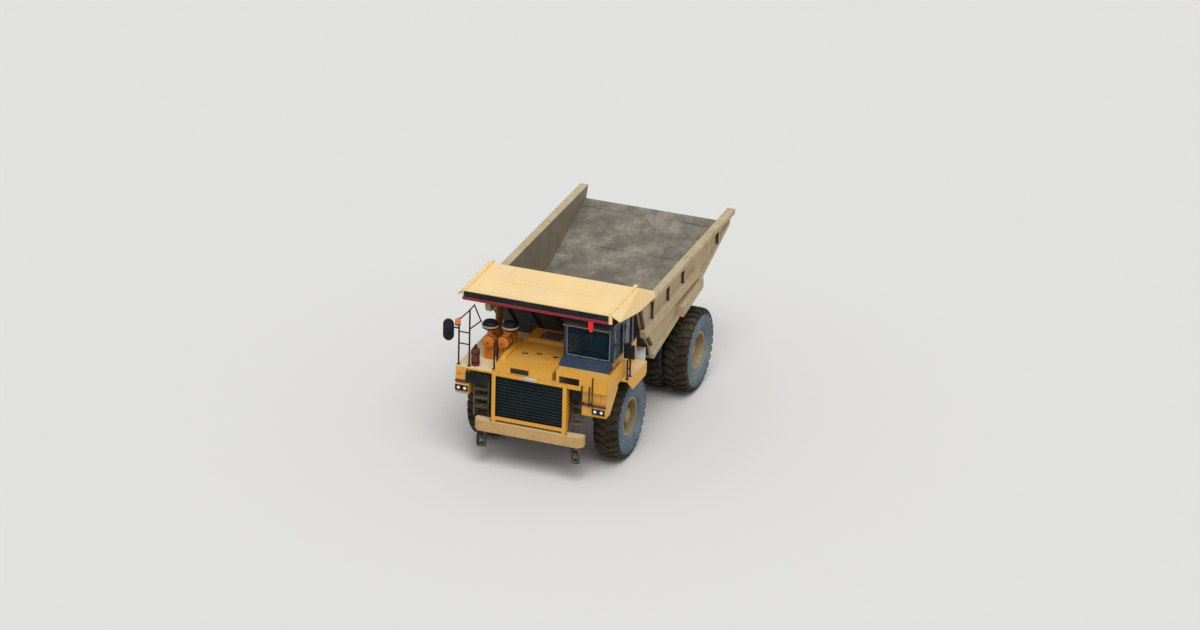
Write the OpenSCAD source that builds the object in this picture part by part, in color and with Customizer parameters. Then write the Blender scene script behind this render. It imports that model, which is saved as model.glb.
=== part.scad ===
// Rigid mining dump truck, in millimetres.
// +X is the truck's left, its front faces -Y, +Z is up and the ground is z = 0.
// Lengthwise places are measured from the front axle; on_truck() then centres the whole.

/* [Running gear] */
// Distance from the front axle to the rear axle
wheelbase = 4191; // [4000:10:4500]
// Outside diameter of a tyre, over its lugs
tyre_d = 2100; // [2050:10:2140]
// Width of one tyre
tyre_w = 653; // [600:1:670]
// Diameter of the rim where the tyre sits
rim_d = 890; // [840:2:940]
// Distance between the centres of the front tyres
front_track = 3208; // [3160:2:3240]
// Distance between the centres of the twin rear pairs
rear_track = 2938; // [2920:2:2990]
// Distance between the two tyres of a pair
twin_spacing = 737; // [700:1:760]
// Number of lugs round a tyre
lugs = 30; // [24:1:32]
// Height of the lugs over the tread
lug_h = 45; // [30:1:55]
// Gap between a front strut's collar and its tyre
strut_gap = 37.5; // [30:0.5:60]
// Radius of a front strut's rod
strut_r = 95; // [85:1:105]

/* [Frame] */
// Inside distance between the frame rails
rail_gap = 860; // [800:10:880]
// Width of one frame rail
rail_w = 220; // [180:5:225]
// Height of the frame rails' underside at the front
rail_z = 1000; // [960:5:1040]
// Height of the frame rails at the front
rail_h = 450; // [400:5:480]
// Front face of the bumper, ahead of the axle
bumper_y = 1941; // [1880:5:2000]
// Width of the bumper
bumper_w = 2734; // [2500:10:2800]
// Height of the bumper's underside
bumper_z = 937; // [900:5:960]
// Height of the bumper
bumper_h = 275; // [240:5:300]
// Sideways place of a tow pin's hole
tow_x = 950; // [900:10:1000]
// Radius of a tow pin's hole
tow_r = 35; // [30:1:40]

/* [Front end] */
// Outside width of the grille's frame
grille_w = 1882; // [1700:10:1900]
// Number of louvre slats in the grille
grille_slats = 13; // [8:1:18]
// Height of the front deck
deck_z = 2450; // [2400:5:2480]
// Outside width over the front fenders
fender_w = 3790; // [3740:10:3840]
// Front face of the fenders, ahead of the axle
fender_y = 1780; // [1740:5:1820]
// Lower edge of the fenders' fronts
fender_z = 1752; // [1700:5:1800]
// Thickness of the fenders' plates
plate_t = 30; // [20:1:40]
// Height of the hood over the deck at its front
hood_h = 270; // [250:5:300]

/* [Cab] */
// Inner side of the cab
cab_x = 620; // [600:5:660]
// Width of the cab
cab_w = 1240; // [1200:5:1250]
// Front of the cab, ahead of the axle
cab_front = 1300; // [1250:5:1350]
// Length of the cab
cab_l = 1400; // [1360:5:1430]
// Clear height between the cab's walls and the canopy's top
cab_room = 391; // [360:1:420]
// Thickness of the cab's walls
cab_t = 60; // [50:1:70]
// Height of the window sills
sill_z = 2960; // [2900:5:3000]
// Clear length of the door's opening
door_l = 600; // [560:5:620]

/* [Dump bed] */
// Outside width over the bed's rails
bed_w = 4080; // [4000:10:4120]
// Thickness of the bed's plates
bed_t = 60; // [50:1:70]
// Height of the bed's top rails
bed_top = 3740; // [3700:5:3780]
// Height of the canopy's top over the bed's rails
canopy_rise = 551; // [520:1:580]
// Front edge of the canopy, ahead of the axle
canopy_y = 1502; // [1480:5:1540]
// Rear end of the bed, behind the front axle
tail_y = 6850; // [6800:10:6900]
// Place of the bed's hinge, behind the front axle
hinge_y = 5000; // [4960:5:5040]
// Height of the bed's hinge
hinge_z = 1640; // [1620:2:1660]
// Radius of the bed's hinge pins
hinge_r = 60; // [50:1:70]

/* [Hoists] */
// Sideways place of each hoist
hoist_x = 750; // [746:1:754]
// Lower pin of a hoist, behind the front axle
hoist_low_y = 2700; // [2690:2:2710]
// Height of a hoist's lower pin
hoist_low_z = 720; // [710:2:730]
// Upper pin of a hoist, behind the front axle
hoist_top_y = 2600; // [2590:2:2610]
// Height of a hoist's upper pin
hoist_top_z = 2090; // [2080:2:2094]
// Radius of a hoist's upper pin
hoist_pin_r = 28; // [24:1:30]
// Outside radius of a hoist's barrel
hoist_r = 80; // [74:1:82]

/* [Hidden] */

$fn = 48;
fit = 0.05;     // radial clearance of a running fit
seat = 0.3;     // gap between pieces that rest near each other
eye_play = 50;  // how far a hoist's eye may drift from its pin
canopy_z = bed_top + canopy_rise;
cab_top = canopy_z - cab_room;
wheel_z = tyre_d / 2;
rim_r = rim_d / 2;
axle_x = front_track / 2;
twin_x = rear_track / 2;
rail_x = rail_gap / 2;
rail_out = rail_x + rail_w;
rail_top = rail_z + rail_h;
frame_front = bumper_y - 241;
grille_y = bumper_y - 47;
bulkhead_y = -bumper_y + 61; // front face of the bulkhead
bumper_top = bumper_z + bumper_h;
grille_z = bumper_top + 61;
grille_top = deck_z + 61;
grille_t = 100;
grille_deep = 150;
fender_x = fender_w / 2;
cab_out = cab_x + cab_w;
cab_back = cab_l - cab_front;
bed_x = bed_w / 2;
wall_x = bed_x - 205;        // inner face of the bed's side walls
mid_y = (tail_y - bumper_y) / 2;
pad_t = 20;
strut_wall = 40;
collar_r = strut_r + strut_wall + 25;
kingpin_x = axle_x - tyre_w / 2 - strut_gap - collar_r; // sideways place of a steering axis
axle_r = 260;                // radius of the rear axle's tube
arm_l = 330;                 // from a steering axis to the tie rod's pin
strut_low = wheel_z + 280;
strut_top = strut_low + 770;
nose_y = 2300;               // where the rear axle's nose meets the frame
left_z = deck_z - 43;        // top of the left deck, under the cab
lamp_x = [1640, 1800];       // sideways places of the lamps
lamp_z = 1919;
lamp_deep = 62;
walk_x = 2130;               // outer side of the walkway beside the cab
box_y = 330;                 // front of the box behind the cab
deck_t = 50;                 // thickness of the left deck
floor_rib = 110;             // height of the bolsters under the bed's floor

module on_truck() { translate([0, -mid_y, 0]) children(); }
module both() { for (s = [-1, 1]) scale([s, 1, 1]) children(); }

// A prism from x0 to x1 of an outline given as [y, z] points
module side_prism(x0, x1, outline) {
    translate([x0, 0, 0]) rotate([90, 0, 90]) linear_extrude(x1 - x0) polygon(outline);
}
module block(x, y, z) {
    translate([x[0], y[0], z[0]]) cube([x[1] - x[0], y[1] - y[0], z[1] - z[0]]);
}
module rod_x(r, x0, x1, y, z) { translate([x0, y, z]) rotate([0, 90, 0]) cylinder(r = r, h = x1 - x0); }
module rod_y(r, y0, y1, x, z) { translate([x, y0, z]) rotate([-90, 0, 0]) cylinder(r = r, h = y1 - y0); }
module rod_z(r, z0, z1, x, y) { translate([x, y, z0]) cylinder(r = r, h = z1 - z0); }
// A straight bar between two points
module bar(a, b, r) {
    d = b - a;
    n = norm(d);
    translate(a) rotate([0, acos(d.z / n), atan2(d.y, d.x)]) cylinder(r = r, h = n, $fn = 24);
}

/* Frame */

// Height of a rail's top at a place behind the front axle
rail_rear = hinge_z + 140;
function rail_top_at(y) = y < 1500 ? rail_top : rail_top + (rail_rear - rail_top) * (y - 1500) / (hinge_y - 1500);
function floor_low(y) = y < knee.x ? low_edge(floor_front, knee, y) : low_edge(knee, tail_low, y);
function low_edge(a, b, y) = a.y + (b.y - a.y) * (y - a.x) / (b.x - a.x);

module frame_rails() {
    color("goldenrod") on_truck() {
        outline = [
            [-frame_front, rail_z], [3000, rail_z], [3600, rail_z + 420], [hinge_y, hinge_z - 140],
            [hinge_y, rail_rear], [1500, rail_top], [-frame_front, rail_top]];
        for (s = [-1, 1]) {
            x0 = s > 0 ? rail_x : -rail_out;
            side_prism(x0, x0 + rail_w, outline);
            rod_x(140, x0, x0 + rail_w, hinge_y, hinge_z);
        }
        // seat of the rear axle's nose
        block([-80, 80], [nose_y - 100, nose_y], [rail_z - 50, rail_z + 150]);
        for (c = [[-frame_front + 90, rail_z + 180, 90], [2200, rail_z + 230, 150],
                  [3400, rail_z + 480, 90], [4700, rail_rear - 180, 120]])
            rod_x(c[2], -rail_x, rail_x, c[0], c[1]);
        both() {
            // bed hinge pins
            rod_x(hinge_r, rail_out, rail_out + 100, hinge_y, hinge_z);
            // towers and brackets that hold the front struts
            block([rail_x, rail_out], [-120, 120], [rail_top, strut_top - 160]);
            difference() {
                for (z = [strut_low + 10, strut_top - 300])
                    block([rail_out, kingpin_x - 100], [-120, 120], [z, z + 140]);
                rod_z(strut_r + strut_wall, strut_low, strut_top, kingpin_x, 0);
            }
        }
        // pads under the bed's stringers
        for (s = [-1, 1], y = [1700, 2400, 3100, 3800, 4500]) {
            x0 = s > 0 ? rail_x + 40 : -rail_out + 40;
            side_prism(x0, x0 + rail_w - 80, [
                [y, rail_top_at(y)], [y + 300, rail_top_at(y + 300)],
                [y + 300, rail_top_at(y + 300) + pad_t - seat], [y, rail_top_at(y) + pad_t - seat]]);
        }
    }
}

// Brackets on the rails with the hoists' lower pins
module hoist_pins() {
    color("goldenrod") on_truck() both() {
        hull() {
            block([rail_out, rail_out + 12], [hoist_low_y - 170, hoist_low_y + 170], [rail_z, rail_z + 200]);
            rod_x(100, rail_out, rail_out + 12, hoist_low_y, hoist_low_z);
        }
        rod_x(45, rail_out, hoist_x + 90, hoist_low_y, hoist_low_z);
    }
}

module bumper() {
    bevel = 110;
    b = bumper_w / 2;
    color("tan") on_truck() difference() {
        translate([0, 0, bumper_z]) linear_extrude(bumper_h) polygon([
            [-b + bevel, -bumper_y], [b - bevel, -bumper_y], [b, -bumper_y + bevel], [b, -frame_front],
            [-b, -frame_front], [-b, -bumper_y + bevel]]);
        for (x = [-b + 60 : (bumper_w - 120 + 40) / 5 : b - 100])
            block([x, x + (bumper_w - 120 + 40) / 5 - 40], [-bumper_y + 150, -frame_front + 1],
                  [bumper_z + 40, bumper_z + bumper_h - 40]);
        both() rod_z(tow_r, bumper_z - 1, bumper_top + 1, tow_x, -bumper_y + 70);
    }
}

module engine_block() {
    color("dimgray") on_truck() block([-rail_x, rail_x], [-1000, 700], [rail_z + 60, 2050]);
}

module grille() {
    g = grille_w / 2;
    inner_z = grille_top - grille_z - 2 * grille_t;
    pitch = inner_z / grille_slats;
    color("darkslategray") on_truck() {
        difference() {
            block([-g, g], [-grille_y, -grille_y + grille_deep], [grille_z, grille_top]);
            block([-g + grille_t, g - grille_t], [-grille_y - 1, -grille_y + grille_deep - 30],
                  [grille_z + grille_t, grille_top - grille_t]);
        }
        for (i = [0 : grille_slats - 1])
            block([-g + grille_t, g - grille_t], [-grille_y + 40, -grille_y + grille_deep - 30],
                  [grille_z + grille_t + i * pitch + 20, grille_z + grille_t + i * pitch + 45]);
        // bars on the top of the frame
        for (z = [grille_top - 55, grille_top - 20])
            block([-150, 130], [-grille_y - 45, -grille_y], [z - 12, z + 12]);
        // radiator behind
        block([-g + 80, g - 80], [-grille_y + grille_deep, -grille_y + grille_deep + 300], [rail_top, deck_z - 130]);
        // feet on the bumper
        for (s = [-1, 1]) block([s * g - 50, s * g + 50] - [s * 60, s * 60],
            [-grille_y, -grille_y + grille_deep], [bumper_top, grille_z]);
    }
}

module hood() {
    x0 = -868;
    x1 = cab_x - 59;
    back = -450;
    t = 30;
    top = deck_z + hood_h;
    front = -grille_y + 14;
    behind = -grille_y + grille_deep;
    rise = 30;
    color("goldenrod") on_truck() {
        difference() {
            union() {
                side_prism(x0, x1, [[front, grille_top], [front, top], [back, top + rise], [back, deck_z],
                                    [behind, deck_z], [behind, grille_top]]);
                // rear housing
                side_prism(-640, 440, [[back, deck_z], [back, top + rise], [back + 60, top + 110],
                                       [200, top + 110], [200, deck_z]]);
                // raised ridge
                side_prism(-830, -740, [[-1580, top], [-1560, top + 45], [back - 30, top + rise + 45], [back, top + rise]]);
            }
            side_prism(x0 + t, x1 - t, [[front + t, deck_z - 1], [front + t, top - t], [back - t, top + rise - t],
                                        [back - t, deck_z - 1]]);
            side_prism(-640 + t, 440 - t, [[back - t - 1, deck_z - 1], [back - t - 1, top - t], [back + 60, top + 110 - t],
                                           [200 - t, top + 110 - t], [200 - t, deck_z - 1]]);
        }
    }
}

/* Fenders and decks */

// The fender's side, as [y, z] points, with the wheel's room cut away
module fender_side(x0, x1, z_top) {
    side_prism(x0, x1, [[-fender_y, fender_z], [-1500, fender_z], [-1000, 2230], [-1000, z_top], [-fender_y, z_top]]);
}

// Box that carries two lamps
module lamp_box() {
    difference() {
        block([1555, fender_x - 5], [-fender_y - lamp_deep, -fender_y], [1834, 2004]);
        for (x = lamp_x) rod_y(66, -fender_y - lamp_deep - 1, -fender_y - 20, x, lamp_z);
    }
}

module fender_right() {
    t = plate_t;
    color("goldenrod") on_truck() scale([-1, 1, 1]) {
        // front box around the lamps
        block([1560, fender_x], [-fender_y, -fender_y + t], [fender_z, deck_z - 60]);
        fender_side(fender_x - t, fender_x, deck_z - 60);
        lamp_box();
        block([1560, 1560 + t], [-fender_y + t, -1400], [fender_z, deck_z - 60]);
        block([1560 + t, fender_x - t], [-fender_y + t, -1500], [fender_z, fender_z + t]);
        // deck
        difference() {
            block([838, fender_x], [-fender_y, 600], [deck_z - 60, deck_z]);
            block([837, grille_w / 2 + 1], [-grille_y, -grille_y + grille_deep], [deck_z - 61, deck_z + 1]);
        }
        // posts that carry the deck from the frame
        for (y = [-1440, 350]) block([rail_x, rail_out], [y, y + 120], [rail_top, deck_z - 60]);
        for (y = [-1440, 350]) block([rail_out, 1200], [y, y + 120], [deck_z - 180, deck_z - 60]);
    }
}

module fender_left() {
    t = plate_t;
    z1 = left_z;
    color("goldenrod") on_truck() {
        block([1284, fender_x], [-fender_y, -fender_y + t], [fender_z, z1]);
        fender_side(fender_x - t, fender_x, z1);
        lamp_box();
        block([1284, 1284 + t], [-fender_y + t, -1400], [fender_z, z1]);
        block([1284 + t, fender_x - t], [-fender_y + t, -1500], [fender_z, fender_z + t]);
        // deck under the cab
        block([cab_x, fender_x], [-1450, box_y], [z1 - deck_t, z1]);
        // walkway beside the cab, over the tyre
        side_prism(walk_x - t, walk_x, [[-600, 2060], [260, 2060], [box_y, 2120], [box_y, z1], [-900, z1], [-900, 2330]]);
        block([fender_x, walk_x - t], [-900, box_y], [z1 - deck_t, z1]);
        for (y = [-1440, 200]) block([rail_x, rail_out], [y, y + 120], [rail_top, z1 - deck_t]);
        for (y = [-1440, 200]) block([rail_out, 1200], [y, y + 120], [z1 - 180, z1 - deck_t]);
    }
}

module bulkhead() {
    t = plate_t;
    x0 = cab_x + 41;
    x1 = 1953;
    front = bulkhead_y;
    ledge = -1656;
    top = left_z + 433;
    color("goldenrod") on_truck() {
        difference() {
            block([x0, x1], [front, ledge], [left_z, top]);
            block([x0 + t, x1 - t], [front + t, ledge + 1], [left_z + t, top - t]);
            block([740, 1244], [front - 1, front + t + 1], [2520, 2692]);
            // room for the grille's frame
            block([x0 - 1, grille_w / 2], [-grille_y - 1, -grille_y + grille_deep], [left_z - 1, grille_top]);
        }
        // back of the recess
        difference() {
            block([740 - t, 1244 + t], [front + t, front + 3 * t], [grille_top, 2692 + t]);
            block([740, 1244], [front + t - 1, front + 2 * t], [2520, 2692]);
        }
        // cowl up to the windscreen
        side_prism(cab_x, cab_out, [[ledge, left_z], [ledge, top], [-cab_front - 30, sill_z + 40],
                                    [-cab_front, sill_z + 40], [-cab_front, left_z]]);
        // side panel ahead of the door
        side_prism(x1 - t, x1, [[ledge, left_z], [ledge, top], [-820, top + 30], [-660, top - 120], [-660, left_z]]);
    }
}

/* Cab */

door_y0 = cab_back - 50 - door_l;
door_y1 = cab_back - 50;
door_z0 = 2500;
door_z1 = cab_top - 90;

module cab_shell() {
    color("goldenrod") on_truck() {
        cab_walls();
        door_pins();
    }
}

module cab_walls() {
    t = cab_t;
    y0 = -cab_front;
    z0 = left_z;
    // box on the cab's back
    difference() {
        block([cab_out - 420, cab_out], [cab_back, cab_back + 220], [z0, sill_z + 40]);
        block([cab_out - 420 + 30, cab_out - 30], [cab_back - 1, cab_back + 190], [z0 + 30, sill_z + 10]);
    }
    difference() {
        block([cab_x, cab_out], [y0, cab_back], [z0, cab_top]);
        block([cab_x + t, cab_out - t], [y0 + t, cab_back - t], [z0 + t, cab_top + 1]);
        // windscreen
        block([cab_x + 90, cab_out - 90], [y0 - 1, y0 + t + 1], [sill_z + 60, cab_top - 100]);
        // rear window
        block([cab_x + 160, cab_out - 160], [cab_back - t - 1, cab_back + 1], [sill_z + 150, cab_top - 100]);
        // window towards the hood
        block([cab_x - 1, cab_x + t + 1], [y0 + 130, cab_back - 200], [sill_z, cab_top - 100]);
        // side window ahead of the door
        block([cab_out - t - 1, cab_out + 1], [y0 + 100, door_y0 - 90], [sill_z, cab_top - 100]);
        // door opening
        block([cab_out - t - 1, cab_out + 1], [door_y0, door_y1], [door_z0, door_z1]);
    }
}

module cab_roof() {
    color("goldenrod") on_truck() {
        side_prism(cab_x - 20, cab_out + 20, [
            [-cab_front - 60, cab_top], [-cab_front - 60, cab_top + 20], [-cab_front - 20, cab_top + 45],
            [cab_back - 30, cab_top + 45], [cab_back + 10, cab_top + 15], [cab_back + 10, cab_top]]);
        // sun visor
        side_prism(cab_x + 40, cab_out - 40, [
            [-cab_front - 60, cab_top], [-cab_front - 60, cab_top + 12], [-cab_front - 200, cab_top - 48],
            [-cab_front - 200, cab_top - 60]]);
    }
}

module cab_glass() {
    g = 12;
    y0 = -cab_front;
    t = cab_t;
    m = (t - g) / 2;
    color("slategray") on_truck() {
        block([cab_x + 90, cab_out - 90], [y0 + m, y0 + m + g], [sill_z + 60, cab_top - 100]);
        block([cab_x + 160, cab_out - 160], [cab_back - m - g, cab_back - m], [sill_z + 150, cab_top - 100]);
        block([cab_x + m, cab_x + m + g], [y0 + 130, cab_back - 200], [sill_z, cab_top - 100]);
        block([cab_out - m - g, cab_out - m], [y0 + 100, door_y0 - 90], [sill_z, cab_top - 100]);
    }
}

module cab_interior() {
    x = cab_x + cab_w / 2;
    f = left_z + cab_t;
    color("dimgray") on_truck() {
        // driver's seat
        rod_z(120, f, f + 300, x, -550);
        block([x - 260, x + 260], [-820, -300], [f + 300, f + 420]);
        block([x - 240, x + 240], [-380, -270], [f + 420, f + 1050]);
        // dashboard and wheel
        block([cab_x + cab_t, cab_out - cab_t], [-cab_front + cab_t, -cab_front + 260], [f, f + 520]);
        bar([x, -cab_front + 250, f + 400], [x, -cab_front + 330, f + 560], 25);
        translate([x, -cab_front + 330, f + 560]) rotate([30, 0, 0]) rotate_extrude() translate([190, 0]) circle(r = 18);
        translate([x, -cab_front + 330, f + 560]) rotate([30, 0, 0]) block([-190, 190], [-20, 20], [-15, 15]);
    }
}

module cab_door() {
    c = 6;
    t = cab_t;
    color("goldenrod") on_truck() {
        difference() {
            block([cab_out - t, cab_out], [door_y0 + c, door_y1 - c], [door_z0 + c, door_z1 - c]);
            block([cab_out - t - 1, cab_out + 1], [door_y0 + 70, door_y1 - 70], [sill_z, door_z1 - 80]);
        }
        // glass in the door
        block([cab_out - 36, cab_out - 24], [door_y0 + 70, door_y1 - 70], [sill_z, door_z1 - 80]);
        // handle
        block([cab_out, cab_out + 30], [door_y1 - 110, door_y1 - 80], [sill_z - 150, sill_z - 60]);
        // hinge barrels
        for (z = [door_z0 + 150, door_z1 - 250]) difference() {
            union() {
                rod_z(24, z, z + 100, cab_out + 24, door_y0 - 10);
                block([cab_out, cab_out + 14], [door_y0 - 10, door_y0 + 60], [z, z + 100]);
            }
            rod_z(12 + fit, z - 1, z + 101, cab_out + 24, door_y0 - 10);
        }
    }
}

// Pins that carry the door
module door_pins() {
    for (z = [door_z0 + 150, door_z1 - 250]) {
        rod_z(12, z - 40, z + 100, cab_out + 24, door_y0 - 10);
        block([cab_out, cab_out + 36], [door_y0 - 30, door_y0 - 5], [z - 60, z - 5]);
    }
}

/* Deck equipment */

module air_cleaners() {
    // columns: canister x, canister z, cap x, cap z, legs from x, legs to x
    units = [[-1301, 2914, -1301, 3326, -1420, -1180], [-940, 2960, -800, 3376, -1050, -880]];
    y0 = -1230;
    color("darkorange") on_truck() for (u = units) {
        rod_y(145, y0, y0 + 620, u[0], u[1]);
        // cover held by a band
        translate([u[0], y0 - 45, u[1]]) rotate([-90, 0, 0]) rotate_extrude()
            polygon([[0, 0], [60, 0], [125, 22], [152, 45], [152, 75], [0, 75]]);
        for (y = [y0 + 80, y0 + 450]) block([u[4], u[5]], [y, y + 60], [deck_z, u[1] - 70]);
        bar([u[0], y0 + 120, u[1] + 100], [u[2], y0 + 120, u[3] - 80], 70);
        // inlet cap
        translate([u[2], y0 + 120, u[3] - 90]) rotate_extrude()
            polygon([[0, 0], [150, 0], [196, 35], [200, 60], [200, 120], [180, 130], [180, 150], [150, 185], [90, 205], [0, 212]]);
    }
}

module exhaust() {
    color("saddlebrown") on_truck() {
        rod_z(85, deck_z, cab_top - 140, -1340, -450);
        rod_z(110, deck_z, deck_z + 420, -1340, -450);
        rod_z(100, cab_top - 140, cab_top - 20, -1340, -450);
    }
}

// A ladder: its sides from z0 to z1 and its treads, between x0 and x1
module ladder(x0, x1, y, z0, z1, treads) {
    for (x = [x0, x1 - 40]) block([x, x + 40], [y, y + 90], [z0, z1]);
    for (z = treads) block([x0 + 40, x1 - 40], [y - 20, y + 180], [z - 20, z + 20]);
}

module ladders() {
    color("dimgray") on_truck() {
        scale([-1, 1, 1]) ladder(1072, 1477, -1700, bumper_top, deck_z - 60, [1430, 1665, 1900, 2136]);
        ladder(1010, 1284, -1700, bumper_top, left_z, [1430, 1665, 1900, 2136]);
        both() ladder(1080, 1300, -1900, 520, bumper_z, [540, 740]);
    }
}

module handrails() {
    r = 20;
    color("dimgray") on_truck() {
        // right front frame, as [x, z] points at one depth
        y = -1700;
        knots = [[-1860, 3600], [-1592, 3894], [-1481, 4040], [-1310, 3662]];
        for (k = knots) translate([k.x, y, k.y]) sphere(r = r + 3);
        rod_z(r, deck_z, 3650, -1860, y);
        rod_z(r, deck_z, 3894, -1592, y);
        for (i = [0 : 2]) bar([knots[i].x, y, knots[i].y], [knots[i + 1].x, y, knots[i + 1].y], r - 4);
        bar([-1592, y, 3400], [-1310, y, 3662], r - 4);
        for (z = [3000, 3300]) rod_x(r - 4, -1860, -1592, y, z);
        // right inner frame beside the grille
        for (p = inner) rod_z(r, deck_z, 3150, p.x, p.y);
        for (p = inner) translate([p.x, p.y, 3150]) sphere(r = r + 3);
        for (z = [2800, 3150]) bar([inner[0].x, inner[0].y, z], [inner[1].x, inner[1].y, z], r - 4);
        // left frame beside the cab
        for (p = [[-840, 2903], [-650, 3233]]) rod_z(r, left_z, p[1], walk_x - 70, p[0]);
        for (z = [2650, 2880]) rod_y(r - 4, -840, -650, walk_x - 70, z);
        // grab rail beside the left ladder, from the fender's front to the bulkhead's
        for (x = [1330, 1520]) {
            rod_z(r - 4, 2080, 2560, x, -1930);
            for (z = [2080, 2540]) rod_y(r - 6, -1930, z > left_z ? bulkhead_y : -fender_y, x, z);
        }
    }
    inner = [[-979, -1656], [-965, -1497]];
}

module mirrors() {
    out = 2257;
    color("black") on_truck() {
        // left box, on an arm from the cab's corner post
        block([2000, out], [-950, -880], [2999, 3339]);
        block([cab_out, cab_out + 30], [-cab_front + 10, -cab_front + 70], [3385, 3455]);
        bar([cab_out + 16, -cab_front + 40, 3420], [2130, -915, 3400], 18);
        bar([2130, -915, 3330], [2130, -915, 3410], 18);
        // right oval, on an arm from the front rail
        translate([-out + 130, -1670, 3299]) rotate([90, 0, 0]) linear_extrude(60) union() {
            for (z = [-142, 142]) translate([0, z]) circle(r = 130);
            square([260, 284], center = true);
        }
        bar([-1880, -1700, 3380], [-2010, -1700, 3380], 18);
    }
}

module lamps() {
    color("white") on_truck() {
        both() for (x = lamp_x) translate([x, -fender_y - lamp_deep - 8, lamp_z]) rotate([-90, 0, 0]) rotate_extrude()
            polygon([[0, 0], [35, 2], [58, 12], [64, 22], [64, 50], [0, 50]]);
        rod_z(60, 3520, 3640, -1860, -1783.5);
    }
}

module extinguisher() {
    color("firebrick") on_truck() {
        rod_z(95, deck_z, deck_z + 420, -1472, -1590);
        rod_z(40, deck_z + 420, deck_z + 500, -1472, -1590);
    }
}

module tanks() {
    color("goldenrod") on_truck() {
        fuel_tank();
        hydraulic_tank();
    }
}

// Chamfered tank on the right rail, with its cap and straps
module fuel_tank() {
    c = 90;
    x0 = -rail_out - 600;
    z0 = rail_z - 250;
    z1 = rail_z + 400;
    translate([0, 2350, 0]) rotate([90, 0, 0]) linear_extrude(900) polygon([
        [-rail_out, z0], [-rail_out, z1], [x0 + c, z1], [x0, z1 - c], [x0, z0 + c], [x0 + c, z0]]);
    rod_z(70, z1, z1 + 50, x0 + 200, 1700);
    for (y = [1600, 2150]) block([x0 - 8, x0], [y, y + 60], [z0 + c, z1 - c]);
}

// Round tank on the left rail, with its bands, bracket and cap
module hydraulic_tank() {
    x = rail_out + 260;
    z = rail_z + 200;
    rod_y(250, 1450, 2350, x, z);
    for (y = [1600, 2150]) rod_y(258, y, y + 50, x, z);
    block([rail_out, rail_out + 60], [1600, 2200], [z - 100, z + 100]);
    rod_z(60, z + 200, z + 300, x, 1900);
}

module side_box() {
    color("lightgray") on_truck() block([1600, fender_x], [box_y, box_y + 560], [tyre_d + 60, left_z + 73]);
}

/* Axles */

module struts() {
    z = wheel_z;
    color("dimgray") on_truck() both() {
        difference() {
            union() {
                rod_z(strut_r + strut_wall, strut_low, strut_top, kingpin_x, 0);
                rod_z(collar_r, strut_low + 180, strut_low + 220, kingpin_x, 0);
            }
            rod_z(strut_r + fit, strut_low - 1, strut_top - 40, kingpin_x, 0);
        }
        // rear struts, from the axle up to the frame's last tube
        difference() {
            bar([330, wheelbase + 150, z + 100], [330, 4700, rail_rear - 180], 90);
            rod_x(axle_r, 0, 600, wheelbase, z);
            rod_x(120, 0, 600, 4700, rail_rear - 180);
        }
    }
}

module rear_axle() {
    z = wheel_z;
    color("dimgray") on_truck() {
        translate([0, wheelbase, 0]) {
            rod_x(axle_r, -twin_x + 420, twin_x - 420, 0, z);
            translate([0, 0, z]) rotate([0, 90, 0]) rotate_extrude() polygon([
                [0, -230], [axle_r, -230], [340, -190], [400, -100], [400, 100], [340, 190], [axle_r, 230], [0, 230]]);
            both() rod_x(160, twin_x - 420, twin_x + 250, 0, z);
        }
        // nose, forward to the frame
        hull() {
            block([-380, 380], [wheelbase - axle_r + 10, wheelbase - 200], [z - 120, z + 60]);
            block([-80, 80], [nose_y, nose_y + 60], [z - 60, z + 60]);
        }
    }
}

module knuckle() {
    z = wheel_z;
    rod_z(strut_r, z + 100, strut_top - 200, kingpin_x, 0);
    rod_z(150, z - 260, z + 260, kingpin_x, 0);
    rod_x(120, kingpin_x, axle_x + 120, 0, z);
    // steering arm with its ball pin
    block([kingpin_x - 50, kingpin_x + 50], [100, arm_l + 60], [z - 250, z - 190]);
    rod_z(25, z - 310, z - 250, kingpin_x, arm_l);
}

module tie_rod() {
    z = wheel_z - 310;
    color("dimgray") on_truck() difference() {
        union() {
            both() rod_z(50, z, z + 60 - seat, kingpin_x, arm_l);
            rod_x(28, -kingpin_x, kingpin_x, arm_l, z + 30);
        }
        for (s = [-1, 1]) rod_z(25 + fit, z - 1, z + 61, s * kingpin_x, arm_l);
    }
}

module knuckle_left() { color("dimgray") on_truck() knuckle(); }
module knuckle_right() { color("dimgray") on_truck() scale([-1, 1, 1]) knuckle(); }

/* Wheels */

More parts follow.
